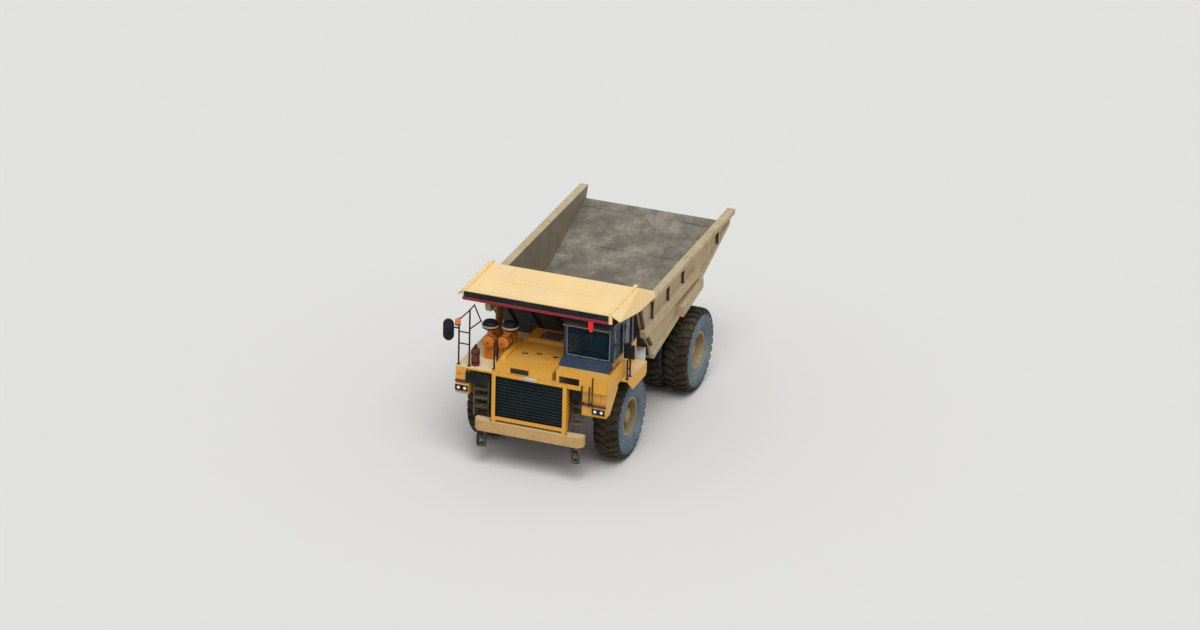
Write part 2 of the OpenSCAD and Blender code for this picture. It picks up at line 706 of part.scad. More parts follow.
// A tyre with lugs, as one closed shell of rings round the X axis
module tyre(x) {
    w = tyre_w / 2;
    n = lugs;
    bore = (rim_r + 46 + seat) / cos(180 / n);
    top = tyre_d / 2 / cos(lug_turns[1] * 360 / n);
    low = tyre_d / 2 - lug_h;
    // columns: place across the tyre, radius on a lug, radius in a groove
    rings = [[-w + 95, bore], [-w, 760], [-w + 15, 920], [-w + 60, top, low],
             [w - 60, top, low], [w - 15, 920], [w, 760], [w - 95, bore]];
    start = [0, n, 2 * n, 3 * n, 7 * n, 11 * n, 12 * n, 13 * n];
    points = [for (r = rings, i = [0 : (len(r) > 2 ? 4 * n : n) - 1])
        let (turn = 360 / n * (len(r) > 2 ? floor(i / 4) + lug_turns[i % 4] : i),
             radius = len(r) > 2 && i % 4 > 1 ? r[2] : r[1])
            [r[0], radius * sin(turn), -radius * cos(turn)]];
    faces = concat(
        [for (k = [[0, 1, n], [1, 2, n], [3, 4, 4 * n], [5, 6, n], [6, 7, n], [7, 0, n]], i = [0 : k[2] - 1],
              t = strip(start[k[0]] + i, start[k[1]] + i, start[k[0]] + (i + 1) % k[2], start[k[1]] + (i + 1) % k[2])) t],
        [for (i = [0 : n - 1], t = fan(start[2], start[3], i, n)) t],
        [for (i = [0 : n - 1], t = fan(start[5], start[4], i, n)) [t[2], t[1], t[0]]]);
    translate([x, 0, wheel_z]) polyhedron(points, faces);
}
lug_turns = [-0.28, 0.28, 0.36, 0.64];    // corners of a lug and of the groove after it, in pitches
// Two triangles between two rings, from their points a and b to the next ones
function strip(a, b, a_next, b_next) = [[a, a_next, b_next], [a, b_next, b]];
// Five triangles from one pitch of a plain ring at a to that of a lugged one at b
function fan(a, b, i, n) = let (j = a + (i + 1) % n, k = b + 4 * i, l = b + (4 * i + 4) % (4 * n))
    [[a + i, k + 1, k], [a + i, k + 2, k + 1], [a + i, j, k + 2], [j, k + 3, k + 2], [j, l, k + 3]];

// A rim about the X axis: barrel with its flanges, carried by a disc at d0 to d1
module rim_barrel(x) {
    w = tyre_w / 2 - 95;
    translate([x, 0, wheel_z]) rotate([0, 90, 0]) rotate_extrude($fn = 64)
        polygon([[rim_r - 30, -w - 25], [rim_r + 46, -w - 25], [rim_r + 46, w + 25], [rim_r - 30, w + 25]]);
}

// A turned piece about the X axis, from x, of [r, a] points
module turned(x, outline) { translate([x, 0, wheel_z]) rotate([0, 90, 0]) rotate_extrude() polygon(outline); }

module front_rim() {
    rim_barrel(axle_x);
    difference() {
        // dish, hub and cap
        turned(axle_x, [[0, -200], [230, -200], [260, -60], [rim_r - 25, -70], [rim_r - 25, -20],
                        [300, 40], [270, 100], [190, 120], [170, 200], [110, 215], [0, 215]]);
        rod_x(120 + fit, axle_x - 201, axle_x + 121, 0, wheel_z);
    }
}

module rear_rim() {
    for (s = [-1, 1]) rim_barrel(twin_x + s * twin_spacing / 2);
    difference() {
        // hub between the tyres, dish and final drive
        turned(twin_x, [[0, -330], [340, -330], [340, -30], [rim_r - 25, -30], [rim_r - 25, 30], [340, 30], [340, 260],
                        [rim_r - 25, 300], [rim_r - 25, 345], [350, 345], [320, 410], [235, 430], [220, 480],
                        [100, 500], [0, 500]]);
        rod_x(160 + fit, twin_x - 331, twin_x + 251, 0, wheel_z);
    }
    // spacer between the barrels
    difference() {
        rod_x(rim_r + 10, twin_x - twin_spacing / 2 + tyre_w / 2 - 70, twin_x + twin_spacing / 2 - tyre_w / 2 + 70, 0, wheel_z);
        rod_x(rim_r - 30, twin_x - 400, twin_x + 400, 0, wheel_z);
    }
}

module tyre_front_left() { color("dimgray") on_truck() tyre(axle_x); }
module tyre_front_right() { color("dimgray") on_truck() scale([-1, 1, 1]) tyre(axle_x); }
module rim_front_left() { color("tan") on_truck() front_rim(); }
module rim_front_right() { color("tan") on_truck() scale([-1, 1, 1]) front_rim(); }
module twin_tyres() { translate([0, wheelbase, 0]) for (s = [-1, 1]) tyre(twin_x + s * twin_spacing / 2); }
module tyres_rear_left() { color("dimgray") on_truck() twin_tyres(); }
module tyres_rear_right() { color("dimgray") on_truck() scale([-1, 1, 1]) twin_tyres(); }
module rim_rear_left() { color("tan") on_truck() translate([0, wheelbase, 0]) rear_rim(); }
module rim_rear_right() { color("tan") on_truck() scale([-1, 1, 1]) translate([0, wheelbase, 0]) rear_rim(); }

/* Dump bed */

// Lower edge of the bed's side, as [y, z] places
floor_front = [1316, 2011];
knee = [4134, 2538];
tail_low = [tail_y - 148, 3373];
// Front of the bed's headboard, from the floor up, as [y, z] places
headboard_line = [floor_front, [1146, 2407], [578, 2985], [281, bed_top - 73], [180, canopy_z]];

function shifted(p, dy, dz) = [for (q = p) [q.x + dy, q.y + dz]];

module bed_floor() {
    t = bed_t;
    lower = [floor_front, knee, tail_low];
    upper = shifted([tail_low, knee, floor_front], 0, t);
    color("tan") on_truck() {
        side_prism(-wall_x, wall_x, concat(lower, upper));
        // cross bolsters, beside and between the stringers
        for (y = [1700, 2250, 2900, 3600, 4300, 5000, 5700, 6300])
            for (x = [[-wall_x, -rail_out - seat], [-rail_x + seat, rail_x - seat], [rail_out + seat, wall_x]])
                side_prism(x[0], x[1], [[y, floor_low(y) + t / 3], [y, floor_low(y) - floor_rib],
                                        [y + 120, floor_low(y + 120) - floor_rib], [y + 120, floor_low(y + 120) + t / 3]]);
    }
}

module bed_headboard() {
    t = bed_t;
    h = headboard_line;
    foot = t + seat;
    back = [for (i = [4 : -1 : 0]) [h[i].x + t, i == 0 ? floor_low(h[0].x + t) + foot : h[i].y]];
    color("tan") on_truck() {
        side_prism(-wall_x, wall_x, concat([h[0] + [0, foot]], [for (i = [1 : 4]) h[i] - [0, i == 4 ? 40 : 0]],
            [for (q = back) q - [0, q.y == canopy_z ? 40 : 0]]));
        for (x = [-1500 : 600 : 1500])
            side_prism(x - 30, x + 30, [[1175, 2340], h[1], h[2], h[3], h[4] - [-20, 391],
                                        h[4] - [-5, 391], h[3] - [61, 7], [520, 2960], [1090, 2380]]);
    }
}

module bed_side() {
    t = bed_t;
    x0 = wall_x;
    x1 = wall_x + t;
    h = headboard_line;
    side_prism(x0, x1, [h[0], h[1], h[2], h[3], h[4] - [0, 40], h[4] + [t, -40], [1317, bed_top],
                        [tail_y, bed_top], tail_low, knee]);
    // top rail
    side_prism(x0, bed_x, [[1044, bed_top - 110], [1044, bed_top], [tail_y, bed_top], [tail_y - 45, bed_top - 110]]);
    // middle rail
    side_prism(x1, bed_x, [[480, 2900], [400, 3090], [4280, 3180], [4360, 2976]]);
    // ribs
    for (y = [1228, 2338, 3388])
        block([x1, x1 + 70], [y - 50, y + 50], [3090, bed_top - 110]);
    block([x1, x1 + 70], [5838, 5938], [3150, bed_top - 110]);
    // lower edge
    side_prism(x1, x1 + 60, [knee, knee + [0, 120], tail_low + [30, 120], tail_low]);
    side_prism(x1, x1 + 60, [floor_front, floor_front + [0, 120], knee + [0, 120], knee]);
    // box over the tyres
    side_prism(x1, bed_x + 50, [[3019, 2420], [3019, 2680], [4445, 2880], [4445, 2620]]);
}
module bed_side_left() { color("tan") on_truck() bed_side(); }
module bed_side_right() { color("tan") on_truck() scale([-1, 1, 1]) bed_side(); }

module bed_canopy() {
    t = 40;
    c = 1873;
    z = canopy_z;
    color("khaki") on_truck() {
        translate([0, 0, z - t]) linear_extrude(t) polygon([
            [-c, -canopy_y], [c, -canopy_y], [c + 47, 235], [-c - 47, 235]]);
        // raised strips along its sides
        both() block([c - 100, c - 20], [-canopy_y + 20, 330], [z, z + 35]);
        // front beam
        block([-c, c], [-canopy_y, -canopy_y + 60], [z - 237, z - t]);
        // ribs underneath
        for (x = [-1200 : 600 : 1200]) block([x - 30, x + 30], [-canopy_y + 60, 180], [z - 150, z - t]);
        // sloping side wings
        w = 20;
        both() for (f = [
            [[c, -canopy_y, z], [c + 47, 235, z], [bed_x, -20, z - 463], [bed_x, -1372, z - 183]],
            [[c + 47, 235, z], [bed_x, -20, z - 463], [bed_x, 1035, bed_top + w], [wall_x + bed_t + w, 1317, bed_top + w]]])
            hull() for (p = f) translate(p - [w, 0, w]) cube(w);
    }
}

// What carries the floor: stringers and the ears of the hinge and the hoists
module bed_stringers() {
    back = hinge_y + 150;
    color("tan") on_truck() {
        for (x = [rail_x, -rail_out])
            side_prism(x, x + rail_w, [
                [1500, rail_top + pad_t], [back, rail_top_at(back) + pad_t], [back, floor_low(back) - seat],
                knee - [0, seat], [1500, floor_low(1500) - seat]]);
        both() {
            // hinge ears
            difference() {
                hull() {
                    rod_x(130, rail_out + 10, rail_out + 70, hinge_y, hinge_z);
                    block([rail_out + 10, rail_out + 70], [hinge_y - 250, hinge_y + 140], [rail_rear + 200, rail_rear + 400]);
                }
                rod_x(hinge_r + fit, rail_out, rail_out + 80, hinge_y, hinge_z);
            }
            block([rail_out, rail_out + 10], [hinge_y - 250, hinge_y + 140], [rail_rear + 100, rail_rear + 400]);
            // hoist ears, hung from the stringer's side
            rod_x(hoist_pin_r, hoist_x - 77, hoist_x + 77, hoist_top_y, hoist_top_z);
            for (x = [hoist_x - 77, hoist_x + 62]) hull() {
                rod_x(70, x, x + 15, hoist_top_y, hoist_top_z);
                ear_top(x, x + 15, 20);
            }
            ear_top(rail_out, hoist_x + 77, 12);
        }
    }
}

// Plate of one thickness under the floor, over a hoist's ears
module ear_top(x0, x1, thick) {
    y0 = hoist_top_y - 150;
    y1 = hoist_top_y + 150;
    side_prism(x0, x1, [[y0, floor_low(y0) - seat], [y0, floor_low(y0) - thick],
                        [y1, floor_low(y1) - thick], [y1, floor_low(y1) - seat]]);
}

/* Hoists */

hoist_run = [hoist_top_y - hoist_low_y, hoist_top_z - hoist_low_z];
hoist_len = norm(hoist_run);
hoist_lean = atan2(hoist_run.x, hoist_run.y);

// Puts the pieces of both hoists, drawn along +Z from the lower pin, in their places
module at_hoists() {
    on_truck() for (s = [-1, 1]) translate([s * hoist_x, hoist_low_y, hoist_low_z]) rotate([-hoist_lean, 0, 0]) children();
}

// Radii of a hoist's telescoping tubes
sleeve_r = hoist_r - 12;
rod_r = hoist_r - 26;
eye_r = hoist_pin_r + eye_play;    // bore of the rod's eye, wide enough for its drift

module hoist_barrels() {
    color("gold") at_hoists() difference() {
        union() {
            rod_z(hoist_r, 60, hoist_len - 130, 0, 0);
            rod_z(hoist_r + 10, hoist_len - 180, hoist_len - 130, 0, 0);
            rod_x(80, -55, 55, 0, 0);
        }
        rod_z(sleeve_r, 95, hoist_len, 0, 0);
        rod_x(45 + fit, -60, 60, 0, 0);
    }
}
module hoist_sleeves() {
    color("silver") at_hoists() difference() {
        rod_z(sleeve_r - fit, 100, hoist_len - 115, 0, 0);
        rod_z(rod_r, 120, hoist_len, 0, 0);
    }
}
module hoist_rods() {
    color("silver") at_hoists() {
        rod_z(rod_r - fit, 125, hoist_len - eye_r - 5, 0, 0);
        difference() {
            rod_x(eye_r + 20, -50, 50, 0, hoist_len);
            rod_x(eye_r, -60, 60, 0, hoist_len);
        }
    }
}

frame_rails();
bumper();
engine_block();
grille();
hood();
fender_right();
fender_left();
bulkhead();
cab_shell();
cab_roof();
cab_glass();
cab_interior();
cab_door();
air_cleaners();
exhaust();
ladders();
handrails();
mirrors();
lamps();
extinguisher();
tanks();
hoist_pins();
side_box();
struts();
rear_axle();
tie_rod();
knuckle_left();
knuckle_right();
tyre_front_left();
tyre_front_right();
rim_front_left();
rim_front_right();
tyres_rear_left();
tyres_rear_right();
rim_rear_left();
rim_rear_right();
bed_floor();
bed_stringers();
bed_headboard();
bed_side_left();
bed_side_right();
bed_canopy();
hoist_barrels();
hoist_sleeves();
hoist_rods();
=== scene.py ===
"""Looks of a rigid mining dump truck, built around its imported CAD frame.

Everything is in metres in the row's frame: +X is the truck's left, its front faces -Y, +Z is up and the
ground is z = 0. Lengthwise places are given from the front axle, and place() moves them to the frame.
"""

from __future__ import annotations

import logging
import math
from dataclasses import dataclass
from enum import Enum
from functools import cache, cached_property

import bmesh
import bpy
from mathutils import Matrix, Vector

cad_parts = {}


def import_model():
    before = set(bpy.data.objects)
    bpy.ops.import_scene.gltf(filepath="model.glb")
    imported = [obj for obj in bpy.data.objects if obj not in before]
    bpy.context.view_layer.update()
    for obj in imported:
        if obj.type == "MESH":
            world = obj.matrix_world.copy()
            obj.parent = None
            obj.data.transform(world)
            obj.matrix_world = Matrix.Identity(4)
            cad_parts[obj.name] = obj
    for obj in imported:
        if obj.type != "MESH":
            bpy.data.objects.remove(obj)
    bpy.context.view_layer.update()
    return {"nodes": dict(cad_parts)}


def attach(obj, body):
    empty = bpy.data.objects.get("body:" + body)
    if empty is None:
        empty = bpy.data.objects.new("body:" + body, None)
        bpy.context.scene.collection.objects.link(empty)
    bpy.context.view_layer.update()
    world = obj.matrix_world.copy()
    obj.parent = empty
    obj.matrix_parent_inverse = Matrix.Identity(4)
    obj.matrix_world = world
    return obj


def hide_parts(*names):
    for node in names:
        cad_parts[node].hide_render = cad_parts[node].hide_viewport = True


LOG = logging.getLogger("dump_truck")
# Place of the front axle along y.
AXLE_Y = -2.4545
SHARP_ANGLE = math.radians(38)
SEAM_WIDTH = 0.018
SEAM_SHADE = 0.5
STREAK_SHADE = 0.55
# Faces whose normal has a z under this count as sides.
STEEP = 0.6
DUST_ROUGHNESS = 0.95
RELIEF_STRENGTH = 0.6
RELIEF_DETAIL = 4.0
SMEAR_SCALE = 3.0
SMEAR_DETAIL = 6.0
SMEAR_ROUGHNESS = 0.12
# How much lighter glass is where it is smeared: a factor, and what is added.
SMEAR_TINT = (1.5, 0.04)
Point = tuple[float, float, float]
Colour = tuple[float, float, float]
Outline = list[tuple[float, float]]
Socket = bpy.types.NodeSocket


def place(x: float, y: float, z: float) -> Vector:
    """Gives the row's place of a point whose y is measured from the front axle."""
    return Vector((x, y + AXLE_Y, z))


def linear(colour: Colour, alpha: float = 1.0) -> tuple[float, float, float, float]:
    """Turns a screen colour into the linear values that shaders take.

    Args:
        colour: Red, green and blue from 0 to 1, as a screen shows them.
        alpha: Opacity.

    Returns:
        The linear colour with its alpha.
    """
    parts = [c / 12.92 if c <= 0.04045 else ((c + 0.055) / 1.055) ** 2.4 for c in colour]
    return (parts[0], parts[1], parts[2], alpha)


class Direction(Enum):
    """The axis along which a shape is drawn."""

    X = 0
    Y = 1
    Z = 2

    def turn(self) -> Matrix:
        """Gives the turn that takes +Z to this axis."""
        if self is Direction.X:
            return Matrix.Rotation(math.radians(90), 4, "Y")
        if self is Direction.Y:
            return Matrix.Rotation(math.radians(-90), 4, "X")
        return Matrix.Identity(4)


class Grain(Enum):
    """Small relief of a surface: its scale per metre and its depth in metres."""

    SPRAYED = (60.0, 0.0006)
    CAST = (140.0, 0.0016)
    RUBBER = (90.0, 0.0018)
    ROLLED = (25.0, 0.0012)
    SMOOTH = (30.0, 0.0002)
    WOVEN = (400.0, 0.0005)


class Mottle(Enum):
    """Patches cut from noise: its scale per metre, its detail, and where they start and are full."""

    PATCHES = (1.7, 6.0, 0.36, 0.66)
    SPECKLE = (11.0, 8.0, 0.40, 0.62)
    WORN_EDGES = (9.0, 6.0, 0.38, 0.60)
    CHIPS = (23.0, 10.0, 0.60, 0.70)
    WORN_ZONES = (2.6, 4.0, 0.46, 0.62)
    RUNS = (1.0, 5.0, 0.52, 0.72)


class Graph:
    """A node tree and the nodes that are added to it."""

    # Roughness of the weathering's noise.
    ROUGH_NOISE = 0.62

    def __init__(self, tree: bpy.types.NodeTree, clamped: bool = False) -> None:
        """Takes a tree.

        Args:
            tree: The tree.
            clamped: Whether the results of its sums stay between 0 and 1.
        """
        self.tree = tree
        self.clamped = clamped

    def link(self, source: Socket, target: Socket) -> None:
        """Links an output to an input."""
        self.tree.links.new(source, target)

    def add(self, kind: str, inputs: dict[str | int, object] | None = None,
            **settings: object) -> bpy.types.Node:
        """Adds a node.

        Args:
            kind: Its type.
            inputs: What its inputs take, each a socket to link or a plain value.
            settings: Its other properties, which are set first.

        Returns:
            The new node.
        """
        node = self.tree.nodes.new(kind)
        for name, value in settings.items():
            setattr(node, name, value)
        for name, value in (inputs or {}).items():
            if isinstance(value, Socket):
                self.link(value, node.inputs[name])
            else:
                node.inputs[name].default_value = value
        return node

    def axis(self, vector: Socket, name: str) -> Socket:
        """Gives one part of a vector."""
        return self.add("ShaderNodeSeparateXYZ", {"Vector": vector}).outputs[name]

    def maths(self, kind: str, a: Socket, b: Socket | float = 0.0) -> Socket:
        """Gives a sum, product or similar of two values."""
        node = self.add("ShaderNodeMath", {0: a, 1: b}, operation=kind, use_clamp=self.clamped)
        return node.outputs["Value"]

    def noise(self, scale: float, detail: float, where: Socket, rough: float = 0.5) -> Socket:
        """Gives the value of a noise texture."""
        inputs = {"Scale": scale, "Detail": detail, "Roughness": rough, "Vector": where}
        return self.add("ShaderNodeTexNoise", inputs).outputs["Fac"]

    def ramp(self, value: Socket, start: float, full: float) -> Socket:
        """Maps a value smoothly from start..full to 0..1."""
        inputs = {"From Min": start, "From Max": full, "Value": value}
        return self.add("ShaderNodeMapRange", inputs, interpolation_type="SMOOTHSTEP").outputs["Result"]

    def mottle(self, kind: Mottle, where: Socket) -> Socket:
        """Gives a mask of patches."""
        scale, detail, start, full = kind.value
        return self.ramp(self.noise(scale, detail, where, self.ROUGH_NOISE), start, full)

    def onto(self, value: Socket, low: float, high: float) -> Socket:
        """Maps a value from 0..1 to low..high."""
        inputs = {"To Min": low, "To Max": high, "Value": value}
        return self.add("ShaderNodeMapRange", inputs).outputs["Result"]

    def lift(self, mask: Socket, least: float) -> Socket:
        """Raises a mask so that it is nowhere under a least value."""
        return self.maths("ADD", self.maths("MULTIPLY", mask, 1.0 - least), least)

    def less(self, mask: Socket, share: float) -> Socket:
        """Gives 1 outside a mask, and inside it 1 less a share."""
        return self.maths("ADD", self.maths("MULTIPLY", mask, -share), 1.0)

    def mix(self, mask: Socket, under: Socket | Colour, over: Colour) -> Socket:
        """Mixes a screen colour over another colour by a mask."""
        below = linear(under) if isinstance(under, tuple) else under
        inputs = {"Factor": mask, "A": below, "B": linear(over)}
        return self.add("ShaderNodeMix", inputs, data_type="RGBA").outputs["Result"]


class Group(Graph):
    """A node group with named inputs and outputs."""

    def __init__(self, name: str, kind: str, takes: dict[str, str], gives: dict[str, str],
                 clamped: bool = False) -> None:
        """Starts a group.

        Args:
            name: Its name.
            kind: Shader or Geometry.
            takes: The kind of each input.
            gives: The kind of each output.
            clamped: Whether the results of its sums stay between 0 and 1.
        """
        super().__init__(bpy.data.node_groups.new(name, f"{kind}NodeTree"), clamped)
        for way, sockets in (("OUTPUT", gives), ("INPUT", takes)):
            for label, value in sockets.items():
                self.tree.interface.new_socket(label, in_out=way, socket_type=f"NodeSocket{value}")
        self.given = self.add("NodeGroupInput").outputs
        self.result = self.add("NodeGroupOutput").inputs

    def give(self, name: str, value: Socket) -> None:
        """Links a value to one of the group's outputs."""
        self.link(value, self.result[name])


class ShaderGroups:
    """Shader groups that every finish shares, each built once.

    Each pair below holds the values where a mask starts and where it is full.
    """

    LOOKS_UP = (0.1, 0.95)
    LIES_FLAT = (0.75, 0.97)
    NEAR_GROUND = (2.3, 0.4)
    AT_EDGE = (0.985, 0.88)
    UP_SHARE = 0.55
    GROUND_SHARE = 0.5
    PATCH_SHARE = 0.22
    LEAST_SPECKLE = 0.5
    LEAST_SETTLED_DUST_AND_HIGHLIGHT = 0.55
    EDGE_RADIUS = 0.016
    EDGE_SAMPLES = 4
    STREAK_SCALE = (9.0, 9.0, 0.7)
    TONE_SCALE = 0.9
    TONE_DETAIL = 3.0

    @cached_property
    def weathering(self) -> bpy.types.NodeTree:
        """The group that turns a place and the surface's normal into dust, wear, streak and tone masks. Its
        Dust mask also holds the settled share on faces that look up, which on some finishes is a painted
        highlight.

        Returns:
            A shader group with inputs Place, Dust, Wear, Streaks, Settled Dust And Highlight (settled dust,
            and on some finishes a painted highlight) and Edges, and outputs Dust, Wear,
            Streaks, Tone and Rounded, the normal of softly rounded edges.
        """
        takes = {"Place": "Vector"} | dict.fromkeys(("Dust", "Wear", "Streaks", "Settled", "Edges"), "Float")
        gives = dict.fromkeys(("Dust", "Wear", "Streaks", "Tone"), "Float") | {"Rounded": "Vector"}
        group = Group("weathering", "Shader", takes, gives, clamped=True)
        given, maths, ramp = group.given, group.maths, group.ramp
        where = given["Place"]
        normal = group.add("ShaderNodeNewGeometry").outputs["Normal"]
        up = group.axis(normal, "Z")
        patches = group.mottle(Mottle.PATCHES, where)
        upward = maths("MULTIPLY", ramp(up, *self.LOOKS_UP), self.UP_SHARE)
        low = maths("MULTIPLY", ramp(group.axis(where, "Z"), *self.NEAR_GROUND), self.GROUND_SHARE)
        cover = maths("MULTIPLY", maths("ADD", upward, low), patches)
        cover = maths("ADD", cover, maths("MULTIPLY", patches, self.PATCH_SHARE))
        speckle = group.lift(group.mottle(Mottle.SPECKLE, where), self.LEAST_SPECKLE)
        cover = maths("MULTIPLY", cover, speckle)
        # Faces that lie flat always carry some of the dust colour: settled dust, and on some finishes a
        # painted highlight.
        settled_dust_and_highlight = maths("MULTIPLY", ramp(up, *self.LIES_FLAT), given["Settled"])
        settled_dust_and_highlight = maths("MULTIPLY", settled_dust_and_highlight, group.lift(patches, self.LEAST_SETTLED_DUST_AND_HIGHLIGHT))
        group.give("Dust", maths("MAXIMUM", maths("MULTIPLY", cover, given["Dust"]), settled_dust_and_highlight))
        bevel = group.add("ShaderNodeBevel", {"Radius": self.EDGE_RADIUS}, samples=self.EDGE_SAMPLES)
        rounded = bevel.outputs["Normal"]
        agree = group.add("ShaderNodeVectorMath", {0: rounded, 1: normal}, operation="DOT_PRODUCT")
        edges = ramp(agree.outputs["Value"], *self.AT_EDGE)
        edges = maths("MULTIPLY", edges, group.mottle(Mottle.WORN_EDGES, where))
        edges = maths("MULTIPLY", edges, given["Edges"])
        worn = maths("MULTIPLY", group.mottle(Mottle.CHIPS, where), group.mottle(Mottle.WORN_ZONES, where))
        group.give("Wear", maths("ADD", maths("MULTIPLY", worn, given["Wear"]), edges))
        group.give("Rounded", rounded)
        thin = group.add("ShaderNodeMapping", {"Scale": self.STREAK_SCALE, "Vector": where})
        runs = group.mottle(Mottle.RUNS, thin.outputs["Vector"])
        group.give("Streaks", maths("MULTIPLY", runs, given["Streaks"]))
        group.give("Tone", group.noise(self.TONE_SCALE, self.TONE_DETAIL, where, group.ROUGH_NOISE))
        return group.tree

    @cached_property
    def box_region(self) -> bpy.types.NodeTree:
        """The group whose Mask is 1 inside the box from Low to High and 0 outside it."""
        group = Group("box_region", "Shader", dict.fromkeys(("Place", "Low", "High"), "Vector"),
                      {"Mask": "Float"})
        mask = None
        for name in "XYZ":
            here = group.axis(group.given["Place"], name)
            for corner, kind in (("Low", "GREATER_THAN"), ("High", "LESS_THAN")):
                test = group.maths(kind, here, group.axis(group.given[corner], name))
                mask = test if mask is None else group.maths("MULTIPLY", mask, test)
        group.give("Mask", mask)
        return group.tree

    @cached_property
    def plate_seams(self) -> bpy.types.NodeTree:
        """The group whose Mask is 1 in the seams across a plate, Period apart and Width wide."""
        takes = {"Place": "Vector", "Period": "Float", "Width": "Float"}
        group = Group("plate_seams", "Shader", takes, {"Mask": "Float"})
        period = group.given["Period"]
        share = group.maths("FRACT", group.maths("DIVIDE", group.axis(group.given["Place"], "Y"), period))
        group.give("Mask", group.maths("LESS_THAN", group.maths("MULTIPLY", share, period),
                                       group.given["Width"]))
        return group.tree


GROUPS = ShaderGroups()


class Surface:
    """A material on Object coordinates, with the graph that feeds its shader."""

    def __init__(self, name: str, levels: dict[str, object]) -> None:
        """Starts a material.

        Args:
            name: Its name.
            levels: Plain values of its shader's inputs.
        """
        self.material = bpy.data.materials.new(name)
        self.material.use_nodes = True
        self.shader = self.material.node_tree.nodes["Principled BSDF"]
        for label, level in levels.items():
            self.shader.inputs[label].default_value = level
        self.graph = Graph(self.material.node_tree)

    def where(self) -> Socket:
        """Gives the Object coordinates."""
        return self.graph.add("ShaderNodeTexCoord").outputs["Object"]

    def feed(self, **values: Socket) -> bpy.types.Material:
        """Links values to the shader's inputs, whose spaces are written as underscores.

        Args:
            values: The value of each input.

        Returns:
            The material.
        """
        for name, value in values.items():
            self.graph.link(value, self.shader.inputs[name.replace("_", " ")])
        return self.material


def scaled(colour: Colour, share: float, plus: float = 0.0) -> Colour:
    """Gives a lighter or darker colour."""
    return tuple(min(1.0, c * share + plus) for c in colour)

@dataclass(frozen=True)
class Region:
    """A box of the part that shows another colour than its node.

    Attributes:
        low: Lowest corner, y from the front axle.
        high: Highest corner, y from the front axle.
        colour: Screen colour inside the box.
        clean: Share of the dust and wear that is missing inside it.
        polish: How much smoother the surface is inside it.
    """

    low: Point
    high: Point
    colour: Colour
    clean: float = 0.6
    polish: float = 0.0


@dataclass(frozen=True)
class Finish:
    """A weathered surface.

    Attributes:
        name: Name of the material.
        colour: Screen colour of the clean surface.
        shade: Darker or lighter screen colour that broad patches drift to.
        dust: Screen colour of the dust on it. On some finishes it is also the colour of a painted highlight
            on the faces that look up.
        bare: Screen colour where the surface is worn through.
        dusty: How much dust lies on it.
        worn: How much of it is worn through.
        streaked: How strongly it is streaked from above.
        settled_dust_and_highlight: How much of the dust colour always lies on the faces that look up: settled
            dust, and on some finishes a painted highlight.
        edges: How much its edges are worn through.
        sides: Screen colour of the faces that don't look up, where it is another one.
        seam: Distance between the seams across it, or 0.
        roughness: Roughness of the clean surface.
        metallic: Metallic share.
        gloss: Level of the plain reflection, lower on dark surfaces.
        coat: Weight of the clear coat.
        grain: Small relief.
        regions: Boxes of other colours.
    """

    name: str
    colour: Colour
    shade: Colour
    dust: Colour = (0.74, 0.66, 0.52)
    bare: Colour = (0.26, 0.20, 0.15)
    dusty: float = 0.5
    worn: float = 0.5
    streaked: float = 0.3
    settled_dust_and_highlight: float = 0.0
    edges: float = 0.5
    sides: Colour | None = None
    seam: float = 0.0
    roughness: float = 0.5
    metallic: float = 0.0
    gloss: float = 0.4
    coat: float = 0.0
    grain: Grain = Grain.SPRAYED
    regions: tuple[Region, ...] = ()

    @cached_property
    def material(self) -> bpy.types.Material:
        """The material, built when it is first asked for."""
        surface = Surface(self.name, {
            "Metallic": self.metallic, "Specular IOR Level": self.gloss, "Coat Weight": self.coat})
        graph, where = surface.graph, surface.where()
        weather = graph.add("ShaderNodeGroup", {
            "Place": where, "Dust": self.dusty, "Wear": self.worn, "Streaks": self.streaked,
            "Settled": self.settled_dust_and_highlight, "Edges": self.edges}, node_tree=GROUPS.weathering).outputs
        colour = graph.mix(weather["Tone"], self.colour, self.shade)
        dust, wear, smooth = weather["Dust"], weather["Wear"], None
        if self.seam:
            seams = graph.add("ShaderNodeGroup", {"Place": where, "Period": self.seam, "Width": SEAM_WIDTH},
                              node_tree=GROUPS.plate_seams)
            colour = graph.mix(seams.outputs["Mask"], colour, scaled(self.shade, SEAM_SHADE))
        if self.sides is not None:
            normal = graph.add("ShaderNodeNewGeometry").outputs["Normal"]
            colour = graph.mix(graph.maths("LESS_THAN", graph.axis(normal, "Z"), STEEP), colour, self.sides)
        for region in self.regions:
            corners = {"Place": where, "Low": place(*region.low), "High": place(*region.high)}
            box = graph.add("ShaderNodeGroup", corners, node_tree=GROUPS.box_region).outputs["Mask"]
            colour = graph.mix(box, colour, region.colour)
            kept = graph.less(box, region.clean)
            dust = graph.maths("MULTIPLY", kept, dust)
            wear = graph.maths("MULTIPLY", kept, wear)
            if region.polish:
                smooth = graph.less(box, region.polish)
        colour = graph.mix(weather["Streaks"], colour, scaled(self.shade, STREAK_SHADE))
        colour = graph.mix(dust, graph.mix(wear, colour, self.bare), self.dust)
        rough = graph.onto(dust, self.roughness, DUST_ROUGHNESS)
        if smooth is not None:
            rough = graph.maths("MULTIPLY", smooth, rough)
        scale, depth = self.grain.value
        relief = graph.noise(scale, RELIEF_DETAIL, where)
        bump = graph.add("ShaderNodeBump", {
            "Distance": depth, "Strength": RELIEF_STRENGTH, "Height": relief, "Normal": weather["Rounded"]})
        return surface.feed(Base_Color=colour, Roughness=rough, Normal=bump.outputs["Normal"])


